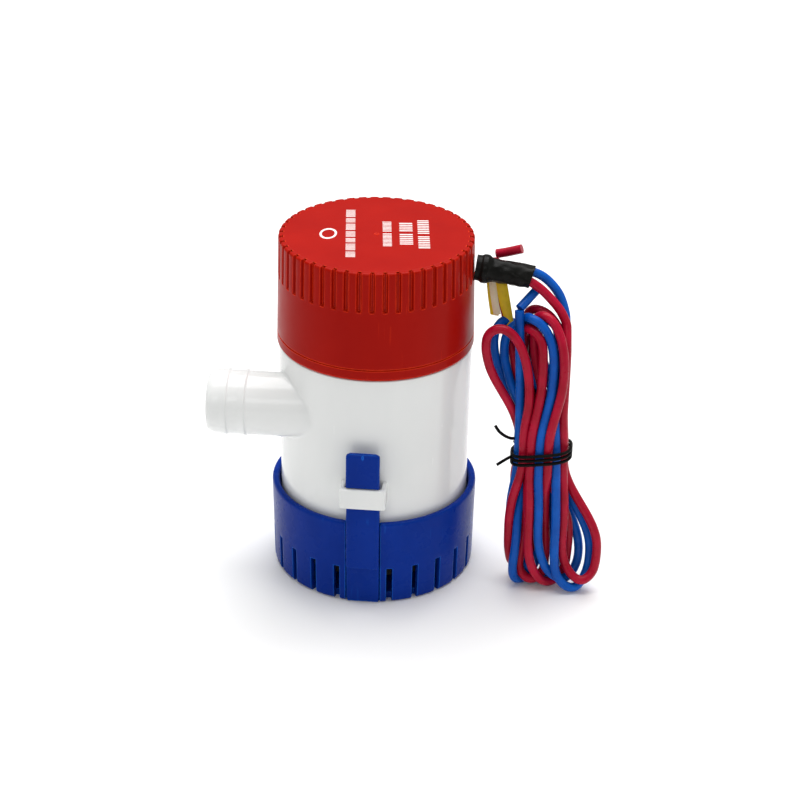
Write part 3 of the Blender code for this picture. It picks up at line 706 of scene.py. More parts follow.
def half_fold(leg, tip, level_first):
    """From a leg, where the wire runs up or down, to a fold's tip, where it runs level."""
    leg, tip = np.array(leg, float), np.array(tip, float)
    out = leg[[0, 2]] - tip[[0, 2]]
    across, along = np.linalg.norm(out), abs(tip[1] - leg[1])
    knots = []
    start = leg.copy()
    if across * across / along < FOLD_R:
        reach = max(across, FOLD_R)
        along = reach * reach / FOLD_R
        start[[0, 2]] = tip[[0, 2]] + out / across * reach
        start[1] = tip[1] + math.copysign(along, leg[1] - tip[1])
        if abs(leg[1] - tip[1]) > along + 3.0:
            knots = [leg]
    t = np.linspace(0, math.pi / 2, 9)[:, None]
    share = np.hstack([1 - np.cos(t), np.sin(t), 1 - np.cos(t)])
    turn = np.concatenate([np.array(knots).reshape(-1, 3), start + (tip - start) * share])
    return turn[::-1] if level_first else turn


def hank_route(runs, folds, lead, tail):
    """The knots of one wire: its lead, then runs through the tie joined by folds, then its tail."""
    knots = [np.array(lead, float)]
    for index, (x, behind) in enumerate(runs):
        step = 4.0 if index % 2 else -4.0
        heights = (TIE_Z - step, TIE_Z, TIE_Z + step)
        knots.append(np.array([(x, hank_y(z) + behind, z) for z in heights]))
        if index < len(folds):
            leg_in, tip, leg_out = folds[index]
            turn = np.concatenate([half_fold(leg_in, tip, False), half_fold(leg_out, tip, True)[1:]])
            knots.append(np.stack([turn[:, 0], hank_y(turn[:, 1]) + turn[:, 2], turn[:, 1]], 1))
    knots.append(np.array(tail, float))
    return np.concatenate(knots)


def evenly(line, step):
    along = np.concatenate([[0], np.cumsum(np.linalg.norm(np.diff(line, axis=0), axis=1))])
    at = np.linspace(0, along[-1], int(round(along[-1] / step)) + 1)
    return np.stack([np.interp(at, along, line[:, k]) for k in range(3)], 1)


def smooth_line(knots, step):
    """An even, smooth line through the knots, whose slope at each knot weighs the shorter side more."""
    ends = np.concatenate([[2 * knots[0] - knots[1]], knots, [2 * knots[-1] - knots[-2]]])
    spans = np.maximum(np.linalg.norm(np.diff(ends, axis=0), axis=1), 1e-6)
    made = []
    for i in range(1, len(ends) - 2):
        start, end = ends[i], ends[i + 1]
        before, here, after = spans[i - 1 : i + 2]
        came, goes, follows = start - ends[i - 1], end - start, ends[i + 2] - end
        leave = (before * goes / here + here * came / before) / (before + here) * here
        arrive = (here * follows / after + after * goes / here) / (here + after) * here
        t = np.linspace(0, 1, max(2, int(here / 0.6)), endpoint=False)[:, None]
        made.append(
            (2 * t**3 - 3 * t**2 + 1) * start
            + (t**3 - 2 * t**2 + t) * leave
            + (3 * t**2 - 2 * t**3) * end
            + (t**3 - t**2) * arrive
        )
    made.append(knots[-1:])
    return evenly(np.concatenate(made), step)


def pushed(spot, one, two, fixed):
    """How far each point moves when the pairs that are nearer than WIRE_GAP push each other apart."""
    gap = spot[one] - spot[two]
    length = np.linalg.norm(gap, axis=1)
    hit = length < WIRE_GAP
    a, b = one[hit], two[hit]
    length = np.maximum(length[hit], 1e-6)
    push = 0.275 * (WIRE_GAP - length)[:, None] * gap[hit] / length[:, None]
    move = np.zeros_like(spot)
    np.add.at(move, a, push)
    np.add.at(move, b, -push)
    shared = np.zeros(len(spot))
    np.add.at(shared, a, 1)
    np.add.at(shared, b, 1)
    move /= np.maximum(1, shared * 0.5)[:, None]
    move[fixed] = 0
    return move


def keep_in_hank(spot, free):
    """Moves points back inside the tie, between the hank's sides and above the floor."""
    held = np.abs(spot[:, 2] - TIE_Z) < TIE_HALF_HEIGHT
    x = (spot[held, 0] - TIE_X) / TIE_HOLD[0]
    y = (spot[held, 1] - hank_y(spot[held, 2])) / TIE_HOLD[1]
    out = np.maximum(np.sqrt(x * x + y * y), 1)
    spot[held, 0] = TIE_X + TIE_HOLD[0] * x / out
    spot[held, 1] = hank_y(spot[held, 2]) + TIE_HOLD[1] * y / out
    spot[free, 0] = np.clip(spot[free, 0], *hank_sides(spot[free, 2]))
    spot[:, 2] = np.maximum(spot[:, 2], WIRE_R)


def settled(lines):
    """Pushes the wires apart where they cross, while they stay smooth and inside the hank."""
    sizes = [len(line) for line in lines]
    starts = np.cumsum([0, *sizes[:-1]])
    spot = np.concatenate(lines)
    home = spot.copy()
    wire = np.repeat(np.arange(len(lines)), sizes)
    rank = np.concatenate([np.arange(size) for size in sizes])
    fixed = np.zeros(len(spot), bool)
    for start, size in zip(starts, sizes):
        fixed[start : start + LEAD_POINTS] = True
        fixed[start + size - TAIL_POINTS : start + size] = True
    one, two = np.triu_indices(len(spot), 1)
    apart = (wire[one] != wire[two]) | (np.abs(rank[one] - rank[two]) >= NEIGHBOURS)
    one, two = one[apart], two[apart]
    for turn in range(SETTLE_ROUNDS):
        pull = PULL_EARLY if turn <= SETTLE_ROUNDS / 2 else PULL_LATE
        spot += (home - spot) * pull * ~fixed[:, None]
        for start, size in zip(starts, sizes):
            part = slice(start, start + size)
            shift = spot[part] - home[part]
            for _ in range(3):
                shift[1:-1] += 0.5 * (0.5 * (shift[:-2] + shift[2:]) - shift[1:-1])
                shift[fixed[part]] = 0
            spot[part] = home[part] + shift
        if turn % 6 == 0:
            near = ((spot[one] - spot[two]) ** 2).sum(1) < (WIRE_GAP * 1.6) ** 2
            close_one, close_two = one[near], two[near]
        for _ in range(2):
            spot += pushed(spot, close_one, close_two, fixed)
        keep_in_hank(spot, ~fixed)
    return [spot[start : start + size] for start, size in zip(starts, sizes)]


def line_length(line):
    return float(np.linalg.norm(np.diff(line, axis=0), axis=1).sum())


def wire_curve(name, line, radius=WIRE_R, round_steps=5):
    """One smooth open spline with a round section and closed ends."""
    data = bpy.data.curves.new(name, "CURVE")
    data.dimensions = "3D"
    data.bevel_depth = radius * MM
    data.bevel_resolution = round_steps
    data.resolution_u = 3
    data.use_fill_caps = True
    spline = data.splines.new("NURBS")
    spline.points.add(len(line) - 1)
    for point, place in zip(spline.points, line):
        point.co = (*(float(v) * MM for v in place), 1.0)
    spline.order_u = 4
    spline.use_endpoint_u = True
    return data


def short_wire(name, knots, make, replaced):
    line = smooth_line(np.array(knots, float), 0.8)
    return piece(name, wire_curve(name, line), "pump", make, replaced)


def add_wires():
    red = smooth_line(hank_route(RED_RUNS, RED_FOLDS, RED_LEAD, RED_TAIL), WIRE_STEP)
    blue = smooth_line(hank_route(BLUE_RUNS, BLUE_FOLDS, BLUE_LEAD, BLUE_TAIL), WIRE_STEP)
    red, blue = settled([red, blue])
    curve = wire_curve("red_wire", red)
    red_wire = piece("red_wire", curve, "pump", red_pvc, ("red_lead", "red_tail", "wire_hank"))
    curve = wire_curve("blue_wire", blue)
    blue_wire = piece("blue_wire", curve, "pump", blue_pvc, ("blue_lead",))
    line_length(red) * MM
    line_length(blue) * MM


# ---------------------------------------------------------------- cable end pieces


TIE_WIRE_R = 0.5
TIE_HALF_WIDTH = 9.15
TIE_HALF_DEPTH = 6.7
TIE_TOP = 48.0
TIE_DROP = 4.4
TIE_SQUARENESS = 0.62


def add_tie():
    """Three turns of thin covered wire round the hank, with both ends left sticking out."""
    route = [(38.8, -14.0, 56.0), (39.9, -14.0, 54.2), (41.6, -13.8, 52.7), (43.6, -12.6, 51.2)]
    route += [(45.4, -9.6, 49.8)]
    per_turn = 24
    steps = 3 * per_turn

    def side(share, half):
        return math.copysign(abs(share) ** TIE_SQUARENESS, share) * half

    for step in range(steps - 1):
        angle = math.radians(150) - math.tau * step / per_turn
        x, y = side(math.cos(angle), TIE_HALF_WIDTH), side(math.sin(angle), TIE_HALF_DEPTH)
        z = TIE_TOP - TIE_DROP * step / steps + 0.13 * x - 0.12 * y
        route.append((TIE_X + x, hank_y(TIE_Z) + y, z))
    route += [(44.0, -12.8, 44.9), (42.0, -13.6, 43.9), (39.7, -14.2, 42.4)]
    line = smooth_line(np.array(route, float), 0.9)
    curve = wire_curve("twist_tie_wire", line, TIE_WIRE_R, 3)
    return piece("twist_tie_wire", curve, "pump", tie_black, ("twist_tie",))


# The middle of the sleeve's inner end, its droop in degrees and its wall. It is crumpled into flats
# from FLATS_FROM on, and slants and flares near its mouth.
SLEEVE_START = (30.5, 0, 102.7)
SLEEVE_DROOP = 7.5
SLEEVE_WALL = 0.45
FLATS = 7
FLATS_FROM = 3.8


def clamped(value):
    return min(1.0, max(0.0, value))


def sleeve_ring(radius, s, inwards):
    """One ring of the sleeve at the distance s along it, as (side, up, along)."""
    angles = np.arange(64) * math.tau / 64
    facet = np.abs(np.mod((angles + 0.05 * s) * FLATS / math.tau, 1) - 0.5) * 2
    dents = 0.16 * np.sin(angles * 3 + s * 0.9) * np.sin(s * 0.75 + 0.6)
    dents = dents + 0.1 * np.sin(angles * 5 - s * 1.4)
    r = radius - inwards + clamped((s - FLATS_FROM) / 2.0) * (0.2 * (facet - 0.5) + 0.7 * dents)
    mouth = clamped((s - 9) / 7)
    side, up = r * np.cos(angles) * (1 + 0.06 * mouth), r * np.sin(angles) * (1 - 0.13 * mouth)
    along = s + clamped((s - 10) / 7) * (0.12 * up - 0.10 * side)
    return np.stack([side, up, along], 1)


def add_sleeve():
    """Heat-shrunk tube: a collar at the cap, crumpled flats along its side and a slanted, flared mouth."""
    profile = [(3.9, -0.2), (3.95, 1.4), (4.45, 2.0), (4.5, 3.5), (3.75, 4.6)]
    profile += [(3.55, 7.0), (3.62, 10.0), (3.85, 13.0), (3.9, 17.2)]
    line = subdivided(rounded(profile, 0.5, 3, closed=False), 0.35, closed=False)
    outer = [sleeve_ring(r, s, 0) for r, s in line]
    inner = [sleeve_ring(r, s, SLEEVE_WALL) for r, s in line[::-1] if s > 6]
    lip = [sleeve_ring(line[-1][0], line[-1][1] + 0.12, 0.22)]
    points, faces = skin(outer + lip + inner, caps=True)
    droop = math.radians(SLEEVE_DROOP)
    along = np.array([math.cos(droop), 0, -math.sin(droop)])
    up = np.array([math.sin(droop), 0, math.cos(droop)])
    side = np.array([0, -1, 0])
    spots = np.array(SLEEVE_START) + points[:, :1] * side + points[:, 1:2] * up + points[:, 2:] * along
    piece("shrink_sleeve", (spots, faces), "pump", shrink_black, ("cable_sleeve",), 60)


LEAF_ROWS = 25
LEAF_THICK = 0.32


def leaf_edge(points):
    """A smooth edge through (x, z) points, as LEAF_ROWS even points."""
    points = np.array(points, float)
    line = smooth_line(np.stack([points[:, 0], 0 * points[:, 0], points[:, 1]], 1), 0.4)
    share, at = np.linspace(0, 1, LEAF_ROWS), np.linspace(0, 1, len(line))
    return np.stack([np.interp(share, at, line[:, k]) for k in range(3)], 1)


def leaf(name, left, right, make, replaced, bow, behind):
    """A thin paper strip between two edge lines of (x, z) points, hanging in the tag's leaning plane."""
    across = np.linspace(0, 1, 9)
    rings = []
    for share, start, end in zip(np.linspace(0, 1, LEAF_ROWS), leaf_edge(left), leaf_edge(right)):
        strip = start + (end - start) * across[:, None]
        lean = 3.4 + behind - (97.4 - strip[:, 2]) * 0.36
        curl = bow * np.sin(math.pi * across) + 0.25 * math.sin(share * 5) * (across - 0.5)
        front = np.stack([strip[:, 0], lean + curl, strip[:, 2]], 1)
        rings.append(np.concatenate([front, (front + np.array([0, LEAF_THICK, 0]))[::-1]]))
    return piece(name, skin(rings, caps=True), "pump", make, replaced, 50)


def add_tag():
    left = [(34.0, 98.8), (35.2, 92.0), (36.3, 87.2)]
    right = [(36.1, 98.8), (37.3, 92.5), (38.5, 87.5)]
    cream = leaf("tag_cream_leaf", left, right, cream_paper, ("wire_tag",), -0.3, 0.0)
    left = [(33.3, 98.8), (34.3, 92.0), (35.3, 87.0)]
    right = [(35.6, 98.8), (36.8, 92.0), (37.9, 86.8)]
    back = leaf("tag_back_leaf", left, right, yellow_paper, (), -0.2, 0.5)
    left = [(36.0, 98.8), (38.3, 89.6), (40.7, 84.0)]
    right = [(39.4, 98.8), (41.5, 90.0), (43.2, 82.8)]
    front = leaf("tag_yellow_leaf", left, right, yellow_paper, (), -0.45, 0.0)
    return cream, back, front


# ---------------------------------------------------------------- cap

SEAM_Z = 77.3
CAP_TOP = 112.0
CAP_SEAM_R = 30.5
CAP_TOP_R = 29.8
CAP_EDGE = 0.75
SKIRT_INNER_R = 28.4
RIBS = 48
POINTS_PER_RIB = 18
RIB_BOTTOM = 99.4
RIB_DEPTH = 0.95
# Half the width of the groove between two ribs, at its mouth and at its floor.
GROOVE_MOUTH = 0.74
GROOVE_FLOOR = 0.46
# The hole that the cable leaves by.
CABLE_Z = 102.7
CABLE_HOLE_R = 4.3


def cap_radius(z):
    return CAP_SEAM_R - (CAP_SEAM_R - CAP_TOP_R) * (z - SEAM_Z) / (CAP_TOP - SEAM_Z)


def cap_outside():
    """The cover's outer profile as (height, how far outside cap_radius), with a fine line near the seam."""
    line = [(SEAM_Z, 0), (SEAM_Z + 0.5, 0), (80.5, 0), (80.58, -0.42), (80.92, -0.42), (81.0, 0)]
    line += [(z, 0) for z in np.arange(83, RIB_BOTTOM - 0.4, 2.0)]
    line += [(RIB_BOTTOM + step, 0) for step in (-0.25, -0.05, 0, 0.12, 0.4)]
    line += [(z, 0) for z in np.arange(RIB_BOTTOM + 1.4, CAP_TOP - 1.2, 1.2)]
    for a in np.linspace(0, math.pi / 2, 7):
        line.append((CAP_TOP - CAP_EDGE + CAP_EDGE * math.sin(a), -CAP_EDGE * (1 - math.cos(a))))
    return line


def add_cap():
    """The ribbed cover: one skin from the inner lip, round the skirt's edge, over the grooves and the top."""
    count = RIBS * POINTS_PER_RIB
    share = np.arange(count) % POINTS_PER_RIB / POINTS_PER_RIB
    angles = np.arange(count) * math.tau / count
    from_groove = np.abs(share - 0.5) * math.tau / RIBS * CAP_TOP_R
    groove = np.clip((GROOVE_MOUTH - from_groove) / (GROOVE_MOUTH - GROOVE_FLOOR), 0, 1)
    groove = groove * groove * (3 - 2 * groove)
    crown = 0.10 * np.clip((from_groove - GROOVE_MOUTH) / 1.3, 0, 1) ** 0.5

    def ring(radius, z, depth=0):
        r = radius - groove * depth
        return np.stack([r * np.cos(angles), r * np.sin(angles), np.full(count, z)], 1)

    inside = [(27.6, 86.4), (SKIRT_INNER_R, 85.6), (SKIRT_INNER_R, 79.0), (SKIRT_INNER_R, SEAM_Z + 0.5)]
    inside += [(28.7, SEAM_Z + 0.05), (29.0, SEAM_Z)]
    rings = [ring(r, z) for r, z in inside]
    for z, lift in cap_outside():
        depth = RIB_DEPTH * clamped((z - RIB_BOTTOM) / 0.35 + 0.1) if z > RIB_BOTTOM - 0.1 else 0
        made = ring(cap_radius(z) + lift, z, depth)
        if z > RIB_BOTTOM:
            made[:, :2] *= (1 + (crown - 0.05) / CAP_TOP_R)[:, None]
        if z <= SEAM_Z:
            made[:, :2] *= (CAP_SEAM_R - 0.35) / CAP_SEAM_R
        rings.append(made)
    # The flat top, with a shallow step inside the rim: (radius, how far below the top).
    radii = np.hypot(rings[-1][:, 0], rings[-1][:, 1])
    flat = [(28.6, 0), (28.3, 0), (28.1, 0.06)] + [(r, 0.08) for r in (27.7, 24.0, 16.0, 8.0, 3.0)]
    for inner, drop in flat:
        blend = clamped((CAP_TOP_R - inner) / 1.2)
        r = radii * (1 - blend) + inner * blend
        rings.append(np.stack([r * np.cos(angles), r * np.sin(angles), np.full(count, CAP_TOP - drop)], 1))
    # The underside of the top, then the inside of the wall.
    under = [ring(r, CAP_TOP - 2.2) for r in (3.0, 16.0, 26.7)] + [ring(27.2, CAP_TOP - 2.8), ring(27.4, 97.0)]
    shell = skin(rings[::-1] + under[::-1], caps=True)
    hole = rod_skin((24.0, 0, CABLE_Z), (34.0, 0, CABLE_Z), CABLE_HOLE_R, 40)
    data = shaped("cap_cover", shell, ("DIFFERENCE", hole))
    piece("cap_cover", data, "pump", red_plastic, ("motor_cap",), 32)


def rod_skin(start, end, radius, count):
    """A plain rod between two points."""
    start, end = np.array(start, float), np.array(end, float)
    axis = (end - start) / np.linalg.norm(end - start)
    other = np.array([0, 0, 1.0]) if abs(axis[2]) < 0.9 else np.array([1.0, 0, 0])
    u = np.cross(axis, other)
    u /= np.linalg.norm(u)
    v = np.cross(axis, u)
    angles = np.arange(count) * math.tau / count
    disc = (np.cos(angles)[:, None] * u + np.sin(angles)[:, None] * v) * radius
    return skin([start + disc, end + disc], caps=True)


def tick_columns(turn):
    """Where the printed ticks stand: columns of short cross bars, with gaps between their groups."""
    columns = [
        (-7.9, -0.7, 2.9, (7, 4, 6, 5, 4, 6, 5), 0.84),
        (3.2, 0.0, 2.7, (8, 10), 1.0),
        (8.9, 0.7, 4.0, (5, 6), 1.42),
        (14.2, 1.0, 3.5, (8, 7), 1.36),
    ]
    lean = math.radians(turn)
    for x, y, width, groups, pitch in columns:
        at = pitch * (sum(groups) + len(groups) - 1) / 2
        for ticks in groups:
            for _ in range(ticks):
                yield x - at * math.sin(lean), y + at * math.cos(lean), width, pitch * 0.5
                at -= pitch
            at -= pitch


def add_print():
    """Plain ticks in place of the printing, and an open ring."""
    turn = 6.5
    low, height = CAP_TOP - 0.1, CAP_TOP - 0.05
    c, s = math.cos(math.radians(turn)), math.sin(math.radians(turn))
    bars = []
    for x, y, width, thick in tick_columns(turn):
        corners = [(a * width / 2, b * thick / 2) for a, b in ((-1, -1), (1, -1), (1, 1), (-1, 1))]
        flat = rounded([(x + a * c - b * s, y + a * s + b * c) for a, b in corners], 0.16, 3)
        bars.append(skin([np.column_stack([flat, np.full(len(flat), z)]) for z in (low, height)], caps=True))
    piece("cap_print_ticks", joined(*bars), "pump", print_ink)
    points, faces = turned_skin([(3.1, low), (3.1, height), (2.3, height), (2.3, low)], 48)
    points = points * np.array([0.85, 1.3, 1]) + np.array([-14.6, -1.6, 0])
    piece("cap_print_ring", (points, faces), "pump", print_ink)


def add_gate_mark():
    """The small moulding gate left near the middle of the cap's top."""
    line = [(0, -0.2), (0.9, -0.2), (0.75, 0.05), (0.5, -0.02), (0.28, -0.03), (0.2, 0), (0, 0)]
    line = rounded([(r, CAP_TOP + z) for r, z in line], {"rest": 0.1, 0: 0, 6: 0})
    piece("cap_gate_mark", turned_skin(line, 32), "pump", red_plastic, (), 50)


# ---------------------------------------------------------------- housing

FOOT_Z = 8.6
FOOT_R = 29.4
TOP_R = 30.0
# The plastic between the motor well and the outer wall, at the height of the seam.
DECK_BOTTOM = 70.5
DECK_TOP = 73.0
OUTLET_Y = -14.65
OUTLET_Z = 59.5
OUTLET_R = 10.0
OUTLET_BORE = 7.9
OUTLET_REACH = 49.9
OUTLET_FILLET = 0.7
WELL_CUT_R = 23.5
# A black ring of painted shade behind the strainer's slots, from one radius and height to another: it stands
# in for the shade inside the slots and is no real part.
SLOT_SHADE_LOW = (29.2, 8.8)
SLOT_SHADE_HIGH = (29.9, 13.3)
# The latch loop: half its width, its root and its outer face on Y, its thicknesses and its height range.
LOOP_HALF = 7.1
LOOP_ROOT = -28.2
LOOP_FACE = -35.2
LOOP_BAR = 1.8
LOOP_ARM = 1.5
LOOP_Z = (35.5, 42.2)


def wall_radius(z):
    return FOOT_R + (TOP_R - FOOT_R) * (z - FOOT_Z) / (SEAM_Z - FOOT_Z)


def housing_profile():
    """The turned shape of the housing: skirt, spigot, motor well and water jacket."""
    line = [
        (27.4, FOOT_Z), (FOOT_R, FOOT_Z), (TOP_R, SEAM_Z - 0.35), (28.1, SEAM_Z - 0.35), (28.1, 80.0),
        (26.3, 80.0), (26.3, 82.6), (28.1, 82.6), (28.1, 86.0), (24.5, 86.0),
        (24.5, DECK_TOP), (17.8, DECK_TOP),
        (17.8, 20.1), (6.8, 20.1), (6.8, 23.0), (2.2, 23.0), (2.2, 21.9), (4.8, 21.9), (4.8, 17.9),
        (19.6, 17.9), (19.6, DECK_BOTTOM), (27.4, DECK_BOTTOM),
    ]
    soft = rounded(line, {1: 0.6, 2: 0.45, 8: 0.6, 19: 0.5, "rest": 0.25})
    return subdivided(soft, 4.0)


def outlet_circle(radius, count):
    """The y and z of a circle about the outlet's axis."""
    angles = np.arange(count) * math.tau / count
    return OUTLET_Y + radius * np.cos(angles), OUTLET_Z + radius * np.sin(angles)


def outlet_ring(radius, reach):
    y, z = outlet_circle(radius, 128)
    return np.stack([np.full(128, -reach), y, z], 1)


def outlet_root(radius, lift, inwards=0.0):
    """A ring of the outlet that follows the housing's round wall."""
    y, z = outlet_circle(radius, 128)
    return np.stack([-(np.sqrt((wall_radius(z) - inwards) ** 2 - y * y) + lift), y, z], 1)


def outlet_skin():
    """The hose outlet: ridges outside, a bore inside, and a root that meets the round wall at a slant."""
    root_r = OUTLET_R + OUTLET_FILLET
    rings = [outlet_root(root_r, 0, 0.8), outlet_root(root_r, -0.01)]
    for a in np.linspace(0.12, math.pi / 2, 7):
        r, lift = OUTLET_R + OUTLET_FILLET * (1 - math.sin(a)), OUTLET_FILLET * (1 - math.cos(a))
        rings.append(outlet_root(r, lift))
    # The tube as (outside OUTLET_R, short of the tip).
    ridges = [(0, 12.4), (0.38, 11.9), (0.05, 9.8), (0, 6.7), (0.38, 6.2), (0.1, 4.2)]
    ridges += [(-0.05, 1.6), (-0.7, 0.35), (-1.35, 0)]
    line = [(OUTLET_R, 31.0)] + [(OUTLET_R + out, OUTLET_REACH - short) for out, short in ridges]
    line += [(OUTLET_BORE + 0.3, OUTLET_REACH), (OUTLET_BORE, OUTLET_REACH - 0.35), (OUTLET_BORE, 31.0)]
    sizes = dict(enumerate((0, 0.25, 0.25, 0.5, 0.25, 0.25, 0.5, 0.8, 0.5, 0.4, 0.2, 0.2)))
    line = subdivided(rounded(line, sizes, closed=False), 2.5, closed=False)
    rings += [outlet_ring(r, reach) for r, reach in line]
    rings.append(outlet_root(OUTLET_BORE, 0, 2.4))
    return skin(rings, wrap_rings=True)


def outlet_hole():
    """The cutter of the hole behind the outlet: its inner end follows the motor well's wall."""
    y, z = outlet_circle(OUTLET_BORE + 0.05, 64)
    inner = np.stack([-np.sqrt(np.maximum(WELL_CUT_R**2 - y * y, 1)), y, z], 1)
    outer = np.stack([np.full(64, -34.0), y, z], 1)
    return skin([inner, outer], caps=True)


def loop_data(name):
    """The bridge on the -Y side that a latch finger hooks over, with rounded edges."""
    half, inner, back = LOOP_HALF, LOOP_HALF - LOOP_ARM, LOOP_FACE + LOOP_BAR
    outline = [
        (-half, LOOP_ROOT), (-half, LOOP_FACE), (half, LOOP_FACE), (half, LOOP_ROOT),
        (inner, LOOP_ROOT), (inner, back), (-inner, back), (-inner, LOOP_ROOT),
    ]
    outline = rounded(outline, {1: 0.7, 2: 0.7, 5: 0.5, 6: 0.5, "rest": 0}, 4)
    rings = [[(x, y, z) for x, y in outline] for z in LOOP_Z]
    return softened(mesh_data(name, *skin(rings, caps=True)), 0.45, 3, 50)


def add_housing():
    shell = turned_skin(housing_profile(), 256)
    data = shaped("housing_shell", shell, ("DIFFERENCE", outlet_hole()))
    piece("housing_shell", data, "pump", white_plastic, ("pump_housing",), 30)
    # Painted shade: a black ring in the rubber finish round the housing's foot, so that the strainer's slots
    # look dark where there is only shade.
    band = [SLOT_SHADE_LOW, (SLOT_SHADE_HIGH[0], SLOT_SHADE_LOW[1]), SLOT_SHADE_HIGH, (SLOT_SHADE_LOW[0], SLOT_SHADE_HIGH[1])]
    band = rounded(band, {1: 0.25, 2: 0.25, "rest": 0})
    piece("slot_shade_band", turned_skin(band, 192), "pump", rubber)
    piece("hose_outlet", outlet_skin(), "pump", white_plastic, (), 35)
    for name, angle in (("latch_loop_front", 0), ("latch_loop_rear", 180)):
        data = loop_data(name)
        data.transform(Matrix.Rotation(math.radians(angle), 4, "Z"))
        piece(name, data, "pump", white_plastic, (), 35)


# ---------------------------------------------------------------- strainer and fingers


SEATS = 6
SLOTS = 24
SLOT_HALF = 1.0
SLOT_TOP = 12.5
# Half the width of the opening for a finger.
GAP_HALF = 5.45
SCREW_X = 13.0
SCREW_R = 2.3


def add_strainer():
    """The slotted cup: feet between the slots, a rolled rim, pump seats and two screw holes."""
    line = [(0, 0), (31.2, 0), (31.9, 0.8), (32.5, 28.0), (32.1, 28.8)]
    line += [(30.8, 28.8), (30.2, 28.1), (30.2, 2.2), (0, 2.2)]
    soft = rounded(line, {1: 0.5, 2: 0.7, 3: 0.7, 4: 0.5, 5: 0.5, 6: 0.6, 7: 0.9, "rest": 0}, 4)
    cup = turned_skin(subdivided(soft, 5.0), 240)

    def turned(part, degrees):
        return about_z(part[0], degrees), part[1]

    seat = box_skin((27.8, -1.3, 1.2), (31.0, 1.3, 8.3))
    seats = [turned(seat, 22.5 + 360 / SEATS * index) for index in range(SEATS)]
    outline = [(29.2, -1.0), (36.0, -1.0), (36.0, SLOT_TOP), (29.2, SLOT_TOP)]
    slot = skin([[(r, y, z) for r, z in outline] for y in (-SLOT_HALF, SLOT_HALF)], caps=True)
    # No slot stands where a finger is.
    cuts = [turned(slot, 360 / SLOTS * index) for index in range(SLOTS) if index % 12 != 6]
    gap = box_skin((29.9, -GAP_HALF, -1.0), (37.0, GAP_HALF, 30.0))
    cuts += [turned(gap, angle) for angle in (-90, 90)]
    cuts += [rod_skin((x, 0, -1.0), (x, 0, 3.5), SCREW_R, 32) for x in (-SCREW_X, SCREW_X)]
    data = shaped("strainer_cup", cup, ("UNION", joined(*seats)), ("DIFFERENCE", joined(*cuts)))
    data = softened(data, 0.28, 2, 60)
    piece("strainer_cup", data, "strainer", blue_plastic, ("strainer_base",), 35)


FINGER_TOP = 54.0
FINGER_HALF = 5.15
# How far below its top the head starts to round, and the number of steps round a corner.
HEAD_ROUND = 1.1
CORNER_STEPS = 5


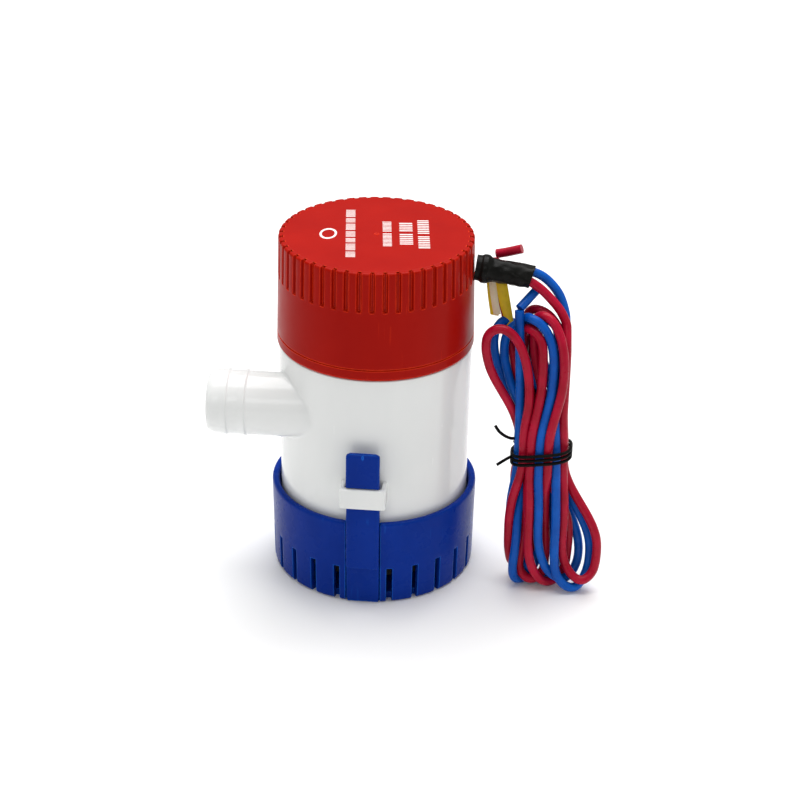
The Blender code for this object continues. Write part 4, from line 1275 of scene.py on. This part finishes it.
def finger_part(side):
    """One springy finger, on the side of -Y or +Y: a lower pad with a ledge, a thin neck and a hooked head."""
    outer = [
        (31.55, 0.3), (31.9, 13.1), (33.9, 13.5), (33.9, 28.4), (32.9, 34.9), (32.9, 42.5),
        (34.6, 42.5), (34.4, 53.2), (33.9, FINGER_TOP),
    ]
    sizes = {1: 0.25, 2: 0.45, 3: 0.2, 4: 1.2, 5: 0.2, 6: 0.45, 7: 0.7, "rest": 0}
    path = subdivided(rounded(outer, sizes, 4, closed=False), 1.2, closed=False)
    inner_z = [0.3, 13.5, 28.8, 39.5, 43.5, FINGER_TOP]
    inner_r = [30.2, 30.6, 31.0, 31.3, 32.2, 32.9]
    rings = []
    for r_out, z in path:
        r_in = float(np.interp(z, inner_z, inner_r))
        half = FINGER_HALF
        if z > FINGER_TOP - HEAD_ROUND:
            half -= HEAD_ROUND - math.sqrt(max(0.0, HEAD_ROUND**2 - (z - FINGER_TOP + HEAD_ROUND) ** 2))
        if z < 1.0:
            half -= 0.4 * (1.0 - z)
        corner = min(0.95 if 13.3 < z < 29.5 else 0.55, 0.45 * (r_out - r_in))
        small = min(0.3, 0.3 * (r_out - r_in))
        ring = []
        for cx, cr, radius, start in (
            (half - corner, r_out - corner, corner, 0),
            (-(half - corner), r_out - corner, corner, 90),
            (-(half - small), r_in + small, small, 180),
            (half - small, r_in + small, small, 270),
        ):
            for step in range(CORNER_STEPS + 1):
                angle = math.radians(start + 90 * step / CORNER_STEPS)
                ring.append((cx + radius * math.cos(angle), cr + radius * math.sin(angle), z))
        rings.append(ring)
    gate = dome_skin((0, 34.3, 53.1), 0.26, 0.3, 2.6)
    points, faces = joined(skin(rings, caps=True), gate)
    return points * np.array([1, side, 1]), faces


def dome_skin(centre, radius, height, tall):
    """A low dome standing out along +Y, longer along Z by the factor tall."""
    x, y, z = centre
    turns = [math.tau * k / 20 for k in range(20)]
    rings = []
    for step in range(6):
        angle = math.pi / 2 * step / 5.5
        r = radius * math.cos(angle)
        out = y - 0.15 + (height + 0.15) * math.sin(angle)
        rings.append([(x + r * math.cos(a), out, z + r * tall * math.sin(a)) for a in turns])
    return skin(rings, caps=True)


def add_fingers():
    for name, body, side, node in (
        ("front_finger_piece", "front_finger", -1, "latch_finger_front"),
        ("rear_finger_piece", "rear_finger", 1, "latch_finger_rear"),
    ):
        piece(name, finger_part(side), body, blue_plastic, (node,), 35)


# ---------------------------------------------------------------- carried-over parts


def finish_frame_nodes():
    """Better materials for the CAD nodes that stay."""
    looks = {
        white_plastic: ("suction_plate",),
        dark_plastic: ("impeller", "end_bell"),
        rubber: ("shaft_seal", "cap_seal_ring", "cable_grommet"),
        ground_steel: ("motor_shaft", "armature_core", "seal_retainer"),
        zinc_plate: ("motor_can",),
        sintered_bronze: ("drive_end_bush", "tail_end_bush"),
        brass_sheet: (
            "brush_spring_negative", "brush_spring_positive", "terminal_negative", "terminal_positive",
        ),
        enamelled_copper: ("armature_windings", "commutator"),
        ferrite: ("magnet_north", "magnet_south"),
        carbon: ("brush_negative", "brush_positive"),
        red_pvc: ("inner_lead_red",),
        blue_pvc: ("inner_lead_blue",),
    }
    for make, names in looks.items():
        for name in names:
            data = NODES[name].data
            if not data.materials:
                data.materials.append(None)
            for index in range(len(data.materials)):
                data.materials[index] = finish_of(make)


add_camera()
tie = add_tie()
add_sleeve()
leaves = add_tag()
red_slug = short_wire("red_wire_end", RED_SLUG, red_pvc, ("red_end_slug",))
blue_slug = short_wire("blue_wire_end", BLUE_SLUG, blue_pvc, ("blue_end_slug",))
add_wires()
add_cap()
add_print()
add_gate_mark()
add_housing()
add_strainer()
add_fingers()
finish_frame_nodes()
add_floor()
add_studio()
